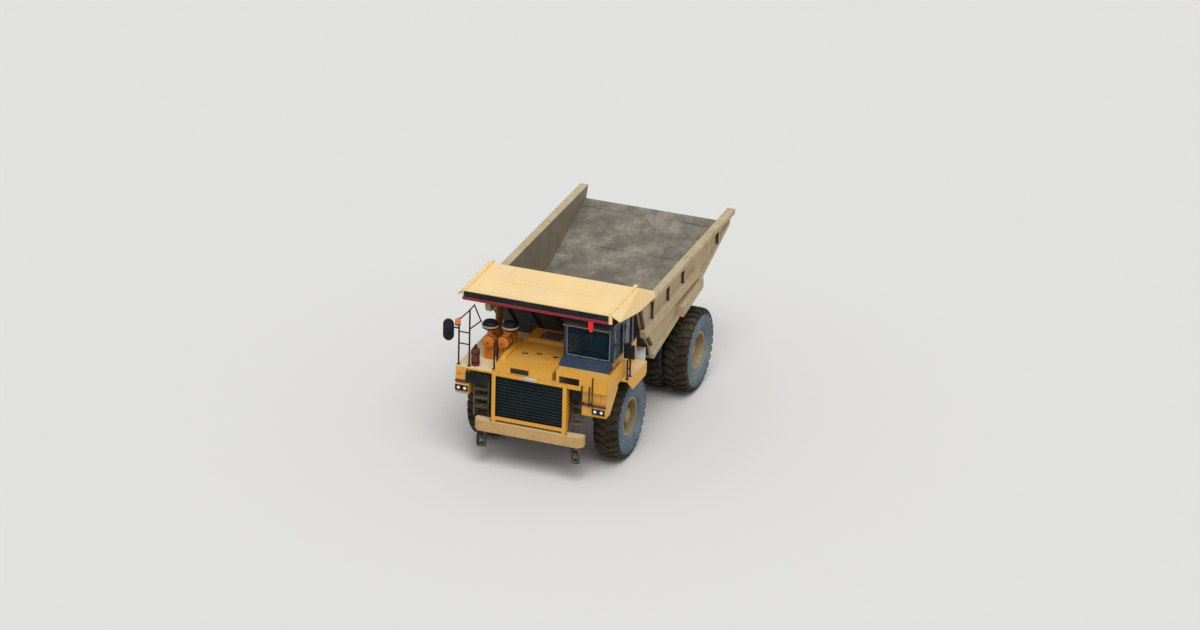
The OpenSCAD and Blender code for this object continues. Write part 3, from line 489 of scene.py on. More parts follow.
@dataclass(frozen=True)
class Glass:
    """A tinted pane or lens.

    Attributes:
        name: Name of the material.
        colour: Screen colour of the tint.
        alpha: Opacity of the pane.
        roughness: Roughness of its surface.
        gloss: Level of its reflection.
    """

    name: str
    colour: Colour
    alpha: float = 0.55
    roughness: float = 0.06
    gloss: float = 0.25

    @cached_property
    def material(self) -> bpy.types.Material:
        """The material, built when it is first asked for."""
        surface = Surface(self.name, {"Alpha": self.alpha, "Specular IOR Level": self.gloss})
        graph = surface.graph
        smear = graph.noise(SMEAR_SCALE, SMEAR_DETAIL, surface.where())
        tint = graph.mix(smear, self.colour, scaled(self.colour, *SMEAR_TINT))
        rough = graph.onto(smear, self.roughness, self.roughness + SMEAR_ROUGHNESS)
        return surface.feed(Base_Color=tint, Roughness=rough)


YELLOW = (0.885, 0.655, 0.20)
YELLOW_SHADE = (0.845, 0.585, 0.15)
BLACK = (0.07, 0.08, 0.10)
NAVY = (0.10, 0.14, 0.22)

HOOD_PAINT = Finish("hood_yellow", YELLOW, YELLOW_SHADE, dusty=0.35, worn=0.25, roughness=0.42, coat=0.15)
# Its pale settled share on faces that look up is partly real dust and partly painted light.
FENDER_PAINT = Finish(
    "fender_yellow", YELLOW, YELLOW_SHADE, dust=(0.85, 0.78, 0.63), dusty=0.75, worn=0.4, settled_dust_and_highlight=0.85,
    roughness=0.48,
    # Pale box on the right deck's top: partly dust, and partly painted light that offsets the canopy's shadow
    # there.
    regions=(Region((-1.95, -1.79, 2.44), (-0.60, 0.80, 2.4505), (0.90, 0.82, 0.62), clean=0.2),),
)
# The settled share paints a highlight in the dust colour on the pod's top ledge.
BULKHEAD_PAINT = Finish(
    "bulkhead_yellow", YELLOW, YELLOW_SHADE, dusty=0.35, worn=0.3, settled_dust_and_highlight=0.25, roughness=0.45,
    regions=(
        Region((0.6, -1.665, 2.846), (1.87, -1.2, 3.05), (0.09, 0.18, 0.30), clean=0.8),
        # Dark brown inside the pod's opening, behind the louvres: painted shade in the recess.
        Region((0.738, -1.852, 2.518), (1.246, -1.80, 2.694), (0.16, 0.14, 0.12), clean=0.8),
    ),
)
CAB_PAINT = Finish(
    "cab_yellow", YELLOW, YELLOW_SHADE, dusty=0.35, worn=0.2, roughness=0.42,
    regions=(Region((0.5, -1.5, 2.96), (2.0, 0.4, 4.2), NAVY),),
)
DOOR_PAINT = Finish(
    "door_yellow", YELLOW, YELLOW_SHADE, dusty=0.35, worn=0.2, roughness=0.42,
    regions=(
        Region((0.5, -1.5, 2.96), (2.0, 0.4, 4.2), NAVY),
        Region((1.823, -0.4795, 2.9605), (1.837, -0.0205, 3.7295), (0.04, 0.10, 0.12), clean=0.8, polish=0.8),
    ),
)
CHASSIS_PAINT = Finish(
    "chassis_yellow", (0.55, 0.38, 0.16), (0.34, 0.26, 0.16), dusty=0.7, worn=0.6, streaked=0.6,
    roughness=0.7,
)
# Its pale settled share on faces that look up is partly real dust and partly a painted highlight on the
# bumper's top.
BUMPER_PAINT = Finish(
    "bumper_sand", (0.78, 0.62, 0.38), (0.70, 0.54, 0.31), dust=(0.84, 0.76, 0.60), dusty=0.5, worn=0.7,
    settled_dust_and_highlight=0.8, roughness=0.6,
)
GRILLE_PAINT = Finish(
    "grille_yellow", YELLOW, YELLOW_SHADE, dusty=0.3, worn=0.3, roughness=0.5,
    regions=(
        Region((-0.845, -1.92, 1.37), (0.845, -1.30, 2.415), (0.085, 0.125, 0.14), clean=1.0),
        Region((-0.19, -1.99, 2.43), (0.17, -1.80, 2.53), (0.80, 0.79, 0.74)),
    ),
)
CANOPY_PAINT = Finish(
    "canopy_pale", (0.97, 0.85, 0.61), (0.95, 0.78, 0.51), dust=(0.86, 0.82, 0.72), dusty=0.5, worn=0.12,
    streaked=0.1, edges=0.3, roughness=0.6,
    regions=(
        Region((-1.84, -1.6, 4.05), (1.80, -1.49, 4.262), (0.10, 0.11, 0.12)),
        Region((-1.84, -1.6, 4.0), (1.80, -1.42, 4.10), (0.52, 0.07, 0.17)),
    ),
)
BED_PAINT = Finish(
    "bed_beige", (0.76, 0.68, 0.54), (0.66, 0.57, 0.42), dust=(0.80, 0.75, 0.64), dusty=0.8, worn=0.5,
    streaked=0.5, roughness=0.75,
    regions=(Region((-1.8352, 0.2, 1.9), (1.8352, 6.84, 3.735), (0.52, 0.47, 0.40), clean=0.0),),
)
BED_LINER = Finish(
    "bed_liner_dressed", (0.50, 0.47, 0.42), (0.36, 0.33, 0.29), dust=(0.70, 0.66, 0.58),
    bare=(0.60, 0.58, 0.55), dusty=0.9, worn=0.8, sides=(0.72, 0.64, 0.50), seam=1.32, roughness=0.6,
    metallic=0.25, grain=Grain.ROLLED,
)
# Dark brown headboard: painted shade for the shadow under the canopy, with real dust and wear over it.
HEADBOARD_PAINTED_SHADE = Finish(
    "headboard_dark", (0.25, 0.21, 0.17), (0.17, 0.14, 0.12), dust=(0.50, 0.45, 0.37),
    bare=(0.45, 0.40, 0.34), dusty=0.5, worn=0.5, roughness=0.7, grain=Grain.ROLLED,
)
IRON = Finish(
    "cast_iron_dressed", (0.22, 0.20, 0.18), (0.14, 0.13, 0.12), dust=(0.50, 0.44, 0.34), dusty=0.8, worn=0.2,
    roughness=0.7, metallic=0.3, grain=Grain.CAST,
)
TREAD = Finish(
    "tyre_tread", (0.16, 0.14, 0.12), (0.24, 0.20, 0.16), dust=(0.38, 0.34, 0.25), bare=(0.10, 0.09, 0.08),
    dusty=0.9, worn=0.3, edges=0.25, roughness=0.85, gloss=0.2, grain=Grain.RUBBER,
)
SIDEWALL = Finish(
    "tyre_sidewall", (0.38, 0.48, 0.54), (0.22, 0.29, 0.33), dust=(0.56, 0.57, 0.52), bare=(0.12, 0.12, 0.12),
    dusty=0.95, worn=0.9, streaked=0.6, edges=0.2, roughness=0.8, grain=Grain.RUBBER,
)
RIM_PAINT = Finish(
    "rim_cream", (0.66, 0.57, 0.41), (0.47, 0.39, 0.26), dusty=0.7, worn=0.6, streaked=0.3, roughness=0.65,
)
CLEANER_PAINT = Finish(
    "cleaner_orange", (0.88, 0.53, 0.16), (0.78, 0.42, 0.10), dusty=0.3, worn=0.2, roughness=0.45, gloss=0.15,
    regions=(Region((-1.6, -1.5, 3.24), (-0.5, -0.9, 3.6), (0.05, 0.08, 0.16), clean=0.85),),
)
HOT_STEEL = Finish(
    "exhaust_steel_dressed", (0.55, 0.36, 0.16), (0.36, 0.20, 0.09), dusty=0.3, worn=0.5, roughness=0.6,
    metallic=0.5, grain=Grain.ROLLED,
)
STEP_PAINT = Finish(
    "step_dark", (0.13, 0.12, 0.12), (0.20, 0.18, 0.16), bare=(0.62, 0.60, 0.56), dusty=0.6, worn=0.6,
    roughness=0.65,
)
TRIM_BLACK = Finish(
    "trim_black", BLACK, (0.06, 0.08, 0.12), dusty=0.2, worn=0.1, edges=0.2, roughness=0.5, gloss=0.15,
)
CAB_TRIM = Finish(
    "cab_trim_dressed", (0.13, 0.17, 0.21), (0.09, 0.12, 0.15), dust=(0.30, 0.36, 0.40), dusty=0.3, worn=0.0,
    edges=0.0, roughness=0.7, gloss=0.15,
)
EXTINGUISHER_PAINT = Finish("extinguisher_red", (0.46, 0.13, 0.10), (0.36, 0.09, 0.08), dusty=0.4, worn=0.3)
BOX_PAINT = Finish("box_grey", (0.82, 0.82, 0.79), (0.72, 0.72, 0.69), dusty=0.3, worn=0.2)
CHROME = Finish(
    "polished_rod", (0.80, 0.80, 0.80), (0.66, 0.66, 0.66), dusty=0.3, worn=0.0, streaked=0.1, roughness=0.18,
    metallic=1.0, grain=Grain.SMOOTH,
)
WINDOW = Glass("window_tint", (0.0, 0.13, 0.18), alpha=0.3, gloss=0.2)
LENS = Glass("lamp_lens_dressed", (0.92, 0.92, 0.88), alpha=0.9, roughness=0.12)

RED_TRIM = Finish("trim_dark_red", (0.42, 0.07, 0.12), (0.34, 0.06, 0.09), dusty=0.3, worn=0.2, roughness=0.5)
PANEL_GREY = Finish("panel_grey", (0.33, 0.35, 0.38), (0.25, 0.27, 0.30), dusty=0.5, worn=0.2, roughness=0.6)
STRIPE_PAINT = Finish(
    "stripe_red", (0.60, 0.09, 0.20), (0.50, 0.07, 0.15), dusty=0.15, worn=0.2, roughness=0.5,
)
SEAT_CLOTH = Finish(
    "seat_cloth", (0.20, 0.21, 0.24), (0.14, 0.15, 0.18), dusty=0.25, worn=0.0, streaked=0.0, edges=0.0,
    roughness=0.9, grain=Grain.WOVEN,
)
GRILLE_DARK = Finish(
    "grille_dark", (0.10, 0.15, 0.17), (0.07, 0.11, 0.12), dust=(0.22, 0.24, 0.22), dusty=0.4, worn=0.0,
    streaked=0.2, edges=0.0, roughness=0.6, gloss=0.15,
)
DARK_PLATE = Finish(
    "plate_dark_brown", (0.20, 0.15, 0.11), (0.14, 0.11, 0.09), dusty=0.4, worn=0.15, roughness=0.6,
    gloss=0.2,
)
# Pale blue-grey: the dials' own colour, and on the rubber window seals a painted highlight.
PALE_DIALS_AND_SEAL_HIGHLIGHT = Finish("trim_pale", (0.50, 0.58, 0.60), (0.36, 0.44, 0.47), dusty=0.2, worn=0.0, roughness=0.6)
# Dark red-brown: the own colour of the strips on the bed's front edges, and painted shade on the ribs' front
# faces.
EDGE_BROWN_AND_RIB_SHADE = Finish("trim_rust", (0.37, 0.23, 0.17), (0.26, 0.13, 0.11), dusty=0.4, worn=0.4, roughness=0.8)
WORN_STEEL = Finish(
    "worn_steel", (0.62, 0.60, 0.56), (0.44, 0.42, 0.39), dusty=0.5, worn=0.1, roughness=0.45, metallic=0.8,
)
MIRROR_FACE = Finish(
    "mirror_face", (0.80, 0.84, 0.88), (0.70, 0.75, 0.80), dusty=0.2, worn=0.0, roughness=0.08,
    metallic=1.0, grain=Grain.SMOOTH,
)
RED_LAMP = Glass("lamp_red", (0.80, 0.12, 0.10), alpha=0.95, roughness=0.2)
AMBER_LAMP = Glass("lamp_amber", (0.85, 0.36, 0.12), alpha=0.92, roughness=0.2)

FINISHED_NODES: tuple[tuple[Finish | Glass, str], ...] = (
    (CHASSIS_PAINT, "frame_rails tanks hoist_pins bed_stringers hoist_barrels"),
    (BUMPER_PAINT, "bumper"),
    (IRON, "engine_block struts rear_axle tie_rod knuckle_left knuckle_right"),
    (GRILLE_PAINT, "grille"),
    (HOOD_PAINT, "hood"),
    (FENDER_PAINT, "fender_right fender_left"),
    (BULKHEAD_PAINT, "bulkhead"),
    (CAB_PAINT, "cab_shell cab_roof"),
    (WINDOW, "cab_glass"),
    (CAB_TRIM, "cab_interior"),
    (DOOR_PAINT, "cab_door"),
    (CLEANER_PAINT, "air_cleaners"),
    (HOT_STEEL, "exhaust"),
    (STEP_PAINT, "ladders"),
    (TRIM_BLACK, "handrails mirrors"),
    (LENS, "lamps"),
    (EXTINGUISHER_PAINT, "extinguisher"),
    (BOX_PAINT, "side_box"),
    (TREAD, "tyre_front_left tyre_front_right tyres_rear_left tyres_rear_right"),
    (RIM_PAINT, "rim_front_left rim_front_right rim_rear_left rim_rear_right"),
    (BED_LINER, "bed_floor"),
    (HEADBOARD_PAINTED_SHADE, "bed_headboard"),
    (BED_PAINT, "bed_side_left bed_side_right"),
    (CANOPY_PAINT, "bed_canopy"),
    (CHROME, "hoist_sleeves hoist_rods"),
)
NODE_FINISHES = {name: finish for finish, names in FINISHED_NODES for name in names.split()}


class Solid:
    """A mesh drawn shape by shape in the row's frame and then turned into one piece."""

    # Edges that turn by more than this, in radians, are bevelled.
    CORNER = 0.5
    # Radii and distances under this count as none, in metres.
    TINY = 1e-6
    BEND_STEPS = (0.0, 0.25, 0.5, 0.75, 1.0)

    def __init__(self, name: str) -> None:
        """Starts an empty mesh.

        Args:
            name: Name of the piece.
        """
        self.name = name
        self.bm = bmesh.new()

    def _edge(self, faces: list[bmesh.types.BMFace], bevel: float) -> None:
        """Rounds the sharp edges of some faces by a bevel."""
        if bevel <= 0:
            return
        edges = {e for f in faces for e in f.edges
                 if len(e.link_faces) == 2 and e.calc_face_angle() > self.CORNER}
        bmesh.ops.bevel(self.bm, geom=list(edges), offset=bevel, segments=2, profile=0.7, affect="EDGES",
                        clamp_overlap=True)

    def box(self, low: Point, high: Point, bevel: float = 0.004) -> None:
        """Adds a box between two corners whose y is measured from the front axle."""
        a, b = place(*low), place(*high)
        size = b - a
        matrix = Matrix.Translation((a + b) / 2) @ Matrix.Diagonal((size.x, size.y, size.z, 1.0))
        made = bmesh.ops.create_cube(self.bm, size=1.0, matrix=matrix)
        self._edge(list({f for v in made["verts"] for f in v.link_faces}), bevel)

    def prism(self, direction: Direction, start: float, end: float, outline: Outline,
              bevel: float = 0.004) -> None:
        """Adds a prism.

        Args:
            direction: Axis that it runs along.
            start: Where it starts on that axis, from the front axle if the axis is Y.
            end: Where it ends.
            outline: Its section, as (y, z), (x, z) or (x, y) points.
            bevel: Width of its rounded edges.
        """
        def point(along: float, pair: tuple[float, float]) -> Vector:
            """Gives the place of a section point at one end."""
            if direction is Direction.X:
                return place(along, pair[0], pair[1])
            if direction is Direction.Y:
                return place(pair[0], along, pair[1])
            return place(pair[0], pair[1], along)

        rings = [[self.bm.verts.new(point(along, pair)) for pair in outline] for along in (start, end)]
        count = len(outline)
        faces = [self.bm.faces.new(rings[0]), self.bm.faces.new(list(reversed(rings[1])))]
        for i in range(count):
            j = (i + 1) % count
            faces.append(self.bm.faces.new((rings[0][j], rings[0][i], rings[1][i], rings[1][j])))
        bmesh.ops.recalc_face_normals(self.bm, faces=faces)
        self._edge(faces, bevel)

    def lathe(self, direction: Direction, centre: Point, profile: Outline, sides: int = 48) -> None:
        """Adds a turned shape.

        Args:
            direction: Its axis.
            centre: A point on the axis, y from the front axle.
            profile: (radius, place along the axis) points from one end to the other.
            sides: How many sides it has.
        """
        matrix = Matrix.Translation(place(*centre)) @ direction.turn()
        turns = [2 * math.pi * i / sides for i in range(sides)]
        rings = []
        for radius, along in profile:
            if radius < self.TINY:
                points = [(0.0, 0.0, along)]
            else:
                points = [(radius * math.cos(t), radius * math.sin(t), along) for t in turns]
            rings.append([self.bm.verts.new(matrix @ Vector(point)) for point in points])
        faces = []
        for a, b in zip(rings, rings[1:]):
            if len(a) == 1 and len(b) == 1:
                continue
            for i in range(sides):
                j = (i + 1) % sides
                ring = [a[0], b[i], b[j]] if len(a) == 1 else (
                    [a[i], b[0], a[j]] if len(b) == 1 else [a[i], b[i], b[j], a[j]])
                faces.append(self.bm.faces.new(ring))
        closed = profile[0] == profile[-1]
        for ring in ([] if closed else [rings[0], rings[-1]]):
            if len(ring) > 1:
                faces.append(self.bm.faces.new(ring))
        if closed:
            bmesh.ops.remove_doubles(self.bm, verts=rings[0] + rings[-1], dist=self.TINY)
        faces = [f for f in faces if f.is_valid]
        bmesh.ops.recalc_face_normals(self.bm, faces=faces)
        for face in faces:
            face.smooth = True

    def band(self, direction: Direction, centre: Point, inner: float, outer: float, width: float,
             edge: float, sides: int) -> None:
        """Adds a hoop with chamfered outer edges that starts at a centre and runs along an axis."""
        profile = [(inner, 0.0), (outer, edge), (outer, width - edge), (inner, width), (inner, 0.0)]
        self.lathe(direction, centre, profile, sides)

    def loop(self, corners: list[Point], radius: float, sides: int = 8) -> None:
        """Adds straight round bars from corner to corner and back to the first."""
        for a, b in zip(corners, corners[1:] + corners[:1]):
            self.tube([a, b], radius, sides)

    def rod(self, direction: Direction, centre: Point, radius: float, length: float, sides: int = 24,
            bevel: float = 0.003) -> None:
        """Adds a round rod that starts at a centre and runs along an axis."""
        edge = min(bevel, radius * 0.4)
        profile = [(0.0, 0.0), (radius - edge, 0.0), (radius, edge), (radius, length - edge),
                   (radius - edge, length), (0.0, length)]
        self.lathe(direction, centre, profile, sides)

    def tube(self, points: list[Point], radius: float, sides: int = 10, bend: float = 0.05) -> None:
        """Adds a round bar along a path whose corners are rounded.

        Args:
            points: The path's corners, y from the front axle.
            radius: Radius of the bar.
            sides: How many sides it has.
            bend: Radius of the corners' rounding.
        """
        corners = [place(*p) for p in points]
        path = [corners[0]]
        for before, here, after in zip(corners, corners[1:], corners[2:]):
            reach = min(bend, (here - before).length * 0.45, (after - here).length * 0.45)
            a = here + (before - here).normalized() * reach
            b = here + (after - here).normalized() * reach
            path += [a.lerp(here, t).lerp(here.lerp(b, t), t) for t in self.BEND_STEPS]
        path.append(corners[-1])
        turns = [2 * math.pi * k / sides for k in range(sides)]
        rings, side = [], None
        for i, here in enumerate(path):
            along = (path[min(i + 1, len(path) - 1)] - path[max(i - 1, 0)]).normalized()
            if side is None:
                side = along.cross(Vector((0.3, 0.1, 1.0)) if abs(along.z) < 0.9 else Vector((1.0, 0.2, 0.0)))
            side = (side - along * side.dot(along)).normalized()
            up = along.cross(side)
            ring = [here + radius * (math.cos(t) * side + math.sin(t) * up) for t in turns]
            rings.append([self.bm.verts.new(point) for point in ring])
        faces = [self.bm.faces.new(rings[0]), self.bm.faces.new(rings[-1])]
        for a, b in zip(rings, rings[1:]):
            for k in range(sides):
                m = (k + 1) % sides
                face = self.bm.faces.new((a[k], b[k], b[m], a[m]))
                face.smooth = True
                faces.append(face)
        bmesh.ops.recalc_face_normals(self.bm, faces=faces)

    def plain(self) -> bpy.types.Object:
        """Gives the mesh as an object without material, such as a Geometry Nodes instance."""
        mesh = bpy.data.meshes.new(self.name)
        self.bm.to_mesh(mesh)
        self.bm.free()
        return bpy.data.objects.new(self.name, mesh)

    def piece(self, body: str, finish: Finish | Glass, slot: str,
              replaces: tuple[str, ...] = ()) -> bpy.types.Object:
        """Turns the mesh into a dressed piece on a body.

        Args:
            body: Name of the CAD body that carries it.
            finish: Its surface.
            slot: The record's material slot; not used.
            replaces: CAD nodes that it stands for.

        Returns:
            The new object.
        """
        return seat(self.plain(), body, finish, replaces)


def seat(obj: bpy.types.Object, body: str, finish: Finish | Glass,
         replaces: tuple[str, ...] = ()) -> bpy.types.Object:
    """Links an object, dresses it and sets it on a body.

    Args:
        obj: The object, whose place is in its mesh.
        body: Name of the CAD body that carries it.
        finish: Its surface.
        replaces: CAD nodes that it stands for.

    Returns:
        The same object.
    """
    if obj.name not in bpy.context.collection.objects:
        bpy.context.collection.objects.link(obj)
    obj.data.materials.clear()
    obj.data.materials.append(finish.material)
    obj.data.set_sharp_from_angle(angle=SHARP_ANGLE)
    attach(obj, body)
    if replaces:
        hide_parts(*replaces)
    LOG.info("%s: %d faces on %s", obj.name, len(obj.data.polygons), body)
    return obj


class Repeat(Enum):
    """How a Geometry Nodes tree repeats its piece."""

    ROUND = "repeat_round_x"
    ROW = "repeat_row"


class Repeater:
    """Geometry Nodes trees that repeat a piece round the X axis or along a row."""

    @cache
    def tree(self, kind: Repeat) -> bpy.types.NodeTree:
        """Gives the tree of a kind, built once.

        Args:
            kind: Whether the piece repeats round the X axis or in a row.

        Returns:
            A tree with inputs Piece, Count, Step and Finish. Round the axis, Step is the turn of the first.
        """
        takes = {"Piece": "Object", "Count": "Int", "Step": "Vector", "Finish": "Material"}
        group = Group(kind.value, "Geometry", takes, {"Geometry": "Geometry"})
        given = group.given
        piece = group.add("GeometryNodeObjectInfo", {"Object": given["Piece"]}).outputs["Geometry"]
        step = given["Step"] if kind is Repeat.ROW else (0.0, 0.0, 0.0)
        line = group.add("GeometryNodeMeshLine", {"Count": given["Count"], "Offset": step}).outputs["Mesh"]
        spread = group.add("GeometryNodeInstanceOnPoints", {"Points": line, "Instance": piece})
        if kind is Repeat.ROUND:
            index = group.add("GeometryNodeInputIndex").outputs["Index"]
            turn = group.maths("MULTIPLY", group.maths("DIVIDE", index, given["Count"]), 2 * math.pi)
            total = group.maths("ADD", turn, group.axis(given["Step"], "X"))
            angles = group.add("ShaderNodeCombineXYZ", {"X": total}).outputs["Vector"]
            group.link(angles, spread.inputs["Rotation"])
        real = group.add("GeometryNodeRealizeInstances", {"Geometry": spread.outputs["Instances"]})
        paint = group.add("GeometryNodeSetMaterial", {
            "Geometry": real.outputs["Geometry"], "Material": given["Finish"]})
        group.give("Geometry", paint.outputs["Geometry"])
        return group.tree

    def repeat(self, kind: Repeat, piece: Solid, count: int, step: Point, finish: Finish | Glass,
               offset: Vector = Vector((0.0, 0.0, 0.0))) -> bpy.types.Mesh:
        """Repeats a drawn shape and gives the result as a plain mesh.

        Args:
            kind: Round the X axis or in a row.
            piece: The shape, drawn round the row's origin for ROUND and in its first place for ROW.
            count: How many there are.
            step: The step of a row, or the first turn about X in radians.
            finish: Their surface.
            offset: How far the result is moved.

        Returns:
            A plain mesh.
        """
        source = piece.plain()
        host = bpy.data.objects.new(f"{source.name}_host", bpy.data.meshes.new(f"{source.name}_host"))
        bpy.context.collection.objects.link(host)
        modifier = host.modifiers.new("repeat", "NODES")
        modifier.node_group = self.tree(kind)
        ids = {item.name: item.identifier for item in modifier.node_group.interface.items_tree
               if item.in_out == "INPUT"}
        modifier[ids["Piece"]] = source
        modifier[ids["Count"]] = count
        modifier[ids["Step"]] = step
        modifier[ids["Finish"]] = finish.material
        graph = bpy.context.evaluated_depsgraph_get()
        mesh = bpy.data.meshes.new_from_object(host.evaluated_get(graph))
        mesh.name = source.name
        host.modifiers.clear()
        bpy.data.objects.remove(host)
        bpy.data.objects.remove(source)
        mesh.transform(Matrix.Translation(offset))
        return mesh


REPEATER = Repeater()


def joined(name: str, meshes: list[bpy.types.Mesh]) -> bpy.types.Object:
    """Joins plain meshes into one object.

    Args:
        name: Name of the object.
        meshes: The meshes, all of one finish.

    Returns:
        The object, not yet on a body.
    """
    bm = bmesh.new()
    for mesh in meshes:
        bm.from_mesh(mesh)
        bpy.data.meshes.remove(mesh)
    whole = bpy.data.meshes.new(name)
    bm.to_mesh(whole)
    bm.free()
    return bpy.data.objects.new(name, whole)


SIDES = (("left", 1.0), ("right", -1.0))


def outward(side: float, near: float, far: float) -> list[float]:
    """Gives two sideways places on one side of the truck, the lower first."""
    return sorted((side * near, side * far))


@dataclass
class Tyres:
    """The six tyres: a moulded carcass and two rings of shoulder lugs each.

    Attributes:
        radius: Outside radius over the lugs.
        rim: Radius where it sits on the rim.
        wall: Radius inside which a face is part of the pale sidewall.
        lugs: Lugs round each shoulder.
        front_x: Sideways place of the front tyres.
        twin_x: Sideways place of the rear pairs' middle.
        spacing: Distance between the tyres of a pair.
        rear_y: Place of the rear axle.
    """

    radius: float = 1.05
    rim: float = 0.445
    wall: float = 0.93
    lugs: int = 30
    front_x: float = 1.604
    twin_x: float = 1.469
    spacing: float = 0.737
    rear_y: float = 4.191

    def carcass(self, solid: Solid, x: float, y: float) -> None:
        """Adds one tyre's moulded body."""
        # columns: radius, place across, from the bead to the middle of the tread
        half = [
            (self.rim + 0.002, 0.228), (self.rim + 0.050, 0.232), (0.515, 0.266), (0.545, 0.286),
            (0.560, 0.298), (0.585, 0.300), (0.600, 0.308), (0.612, 0.314), (0.622, 0.311), (0.650, 0.320),
            (0.700, 0.3245), (0.706, 0.329), (0.716, 0.329), (0.722, 0.3245), (0.780, 0.323), (0.795, 0.330),
            (0.808, 0.330), (0.815, 0.322), (0.855, 0.314), (0.860, 0.318), (0.868, 0.316), (0.872, 0.309),
            (0.920, 0.292), (0.965, 0.262), (0.993, 0.215), (1.003, 0.120), (1.005, 0.0),
        ]
        other = [(r, -a) for r, a in reversed(half[:-1])]
        solid.lathe(Direction.X, (x, y, self.radius), half + other + [half[0]], sides=96)

    def lug(self, side: float) -> Solid:
        """Draws one lug of a shoulder, round the row's origin, standing at the top of the tread.

        Args:
            side: 1 for the shoulder to the truck's left, -1 for the other.

        Returns:
            The lug's mesh.
        """
        solid = Solid("lug")
        pitch = 2 * math.pi / self.lugs
        # columns: place across the tread, top radius, foot radius, share of the pitch, lean in pitches
        stations = [
            (-0.014, 1.044, 0.99, 0.40, -0.30), (0.010, 1.050, 0.99, 0.44, -0.24),
            (0.120, 1.050, 0.98, 0.50, 0.00), (0.205, 1.047, 0.96, 0.56, 0.12),
            (0.258, 1.034, 0.93, 0.60, 0.18), (0.292, 1.004, 0.90, 0.62, 0.20),
            (0.314, 0.958, 0.86, 0.60, 0.21), (0.318, 0.915, 0.85, 0.55, 0.21),
        ]
        rings = []
        for across, top, foot, share, lean in stations:
            ring = []
            for radius, half in ((foot, 0.5 * share + 0.05), (top, 0.5 * share), (top, -0.5 * share),
                                 (foot, -0.5 * share - 0.05)):
                turn = pitch * (half + lean)
                spot = (side * across, radius * math.sin(turn), radius * math.cos(turn))
                ring.append(solid.bm.verts.new(spot))
            rings.append(ring)
        faces = [solid.bm.faces.new(rings[0]), solid.bm.faces.new(rings[-1])]
        for a, b in zip(rings, rings[1:]):
            for i in range(4):
                j = (i + 1) % 4
                faces.append(solid.bm.faces.new((a[i], a[j], b[j], b[i])))
        bmesh.ops.recalc_face_normals(solid.bm, faces=faces)
        return solid

    def build(self) -> None:
        """Builds the four tyre pieces in place of their CAD nodes."""
        places = {
            "tyre_front_left": [self.front_x], "tyre_front_right": [-self.front_x],
            "tyres_rear_left": [self.twin_x + s * self.spacing / 2 for s in (-1, 1)],
            "tyres_rear_right": [-self.twin_x - s * self.spacing / 2 for s in (-1, 1)],
        }
        for node, xs in places.items():
            y = self.rear_y if "rear" in node else 0.0
            meshes = []
            for x in xs:
                body = Solid("carcass")
                self.carcass(body, x, y)
                host = body.plain()
                meshes.append(host.data)
                bpy.data.objects.remove(host)
                for side in (-1.0, 1.0):
                    first = (0.0 if side > 0 else math.pi / self.lugs, 0.0, 0.0)
                    meshes.append(REPEATER.repeat(Repeat.ROUND, self.lug(side), self.lugs, first, TREAD,
                                                  place(x, y, self.radius)))
            tyre = joined(f"{node}_moulded", meshes)
            wheel = node.replace("tyre_", "wheel_").replace("tyres_", "wheel_")
            seat(tyre, wheel, TREAD, (node,))
            tyre.data.materials.append(SIDEWALL.material)
            for face in tyre.data.polygons:
                middle = face.center - place(0.0, y, self.radius)
                if math.hypot(middle.y, middle.z) < self.wall:
                    face.material_index = 1


@dataclass
class Wheels:
    """Nuts and cleats on the rims.

    Attributes:
        front_x: Sideways place of the front rims' middle.
        rear_x: Sideways place of the rear pairs' middle.
        rear_y: Place of the rear axle.
        axle_z: Height of the axles.
        first: Turn of the first fastener of a ring, in radians.
    """

    front_x: float = 1.604
    rear_x: float = 1.469
    rear_y: float = 4.191
    axle_z: float = 1.05
    first: float = 0.1

    def nuts(self, radius: float, across: float, size: float, side: float) -> Solid:
        """Draws one nut with its stud, standing over the origin at a radius."""
        solid = Solid("nut")
        turn = Direction.X.turn()
        # columns: foot radius, top radius, foot, top, sides
        parts = ((size, size, -0.004, size * 0.9, 6), (size * 0.5, size * 0.46, 0.0, size * 1.4, 12))
        for foot, top, low, high, sides in parts:
            matrix = Matrix.Translation((side * (across + (low + high) / 2), 0.0, radius)) @ turn
            bmesh.ops.create_cone(solid.bm, cap_ends=True, segments=sides, radius1=foot, radius2=top,
                                  depth=high - low, matrix=matrix)
        return solid

    def cleat(self, radius: float, across: float, side: float) -> Solid:
        """Draws one wedge cleat of the rim's edge."""
        solid = Solid("cleat")
        matrix = Matrix.Translation((side * across, 0.0, radius)) @ Matrix.Diagonal((0.035, 0.05, 0.045, 1.0))
        made = bmesh.ops.create_cube(solid.bm, size=1.0, matrix=matrix)
        edges = {e for v in made["verts"] for e in v.link_edges}
        bmesh.ops.bevel(solid.bm, geom=list(edges), offset=0.006, segments=1, affect="EDGES")
        return solid

    def build(self) -> None:
        """Builds the fasteners of the four rims."""
        # columns: rim, sideways place, place along, rings of (kind, radius, across, size, count)
        rims = [
            ("front", self.front_x, 0.0, [
                ("nut", 0.235, 0.106, 0.019, 16), ("cleat", 0.402, -0.012, 0.0, 20),
                ("nut", 0.140, 0.208, 0.011, 12)]),
            ("rear", self.rear_x, self.rear_y, [
                ("nut", 0.386, 0.344, 0.019, 24), ("nut", 0.280, 0.419, 0.016, 18),
                ("nut", 0.160, 0.489, 0.012, 12)]),
        ]
        for axle, x, y, rings in rims:
            for name, side in SIDES:
                meshes = []
                hub = place(side * x, y, self.axle_z)
                for kind, radius, across, size, count in rings:
                    shape = (self.nuts(radius, across, size, side) if kind == "nut"
                             else self.cleat(radius, across, side))
                    first = (self.first, 0.0, 0.0)
                    meshes.append(REPEATER.repeat(Repeat.ROUND, shape, count, first, RIM_PAINT, hub))
                fasteners = joined(f"rim_{axle}_{name}_fasteners", meshes)
                seat(fasteners, f"wheel_{axle}_{name}", RIM_PAINT)


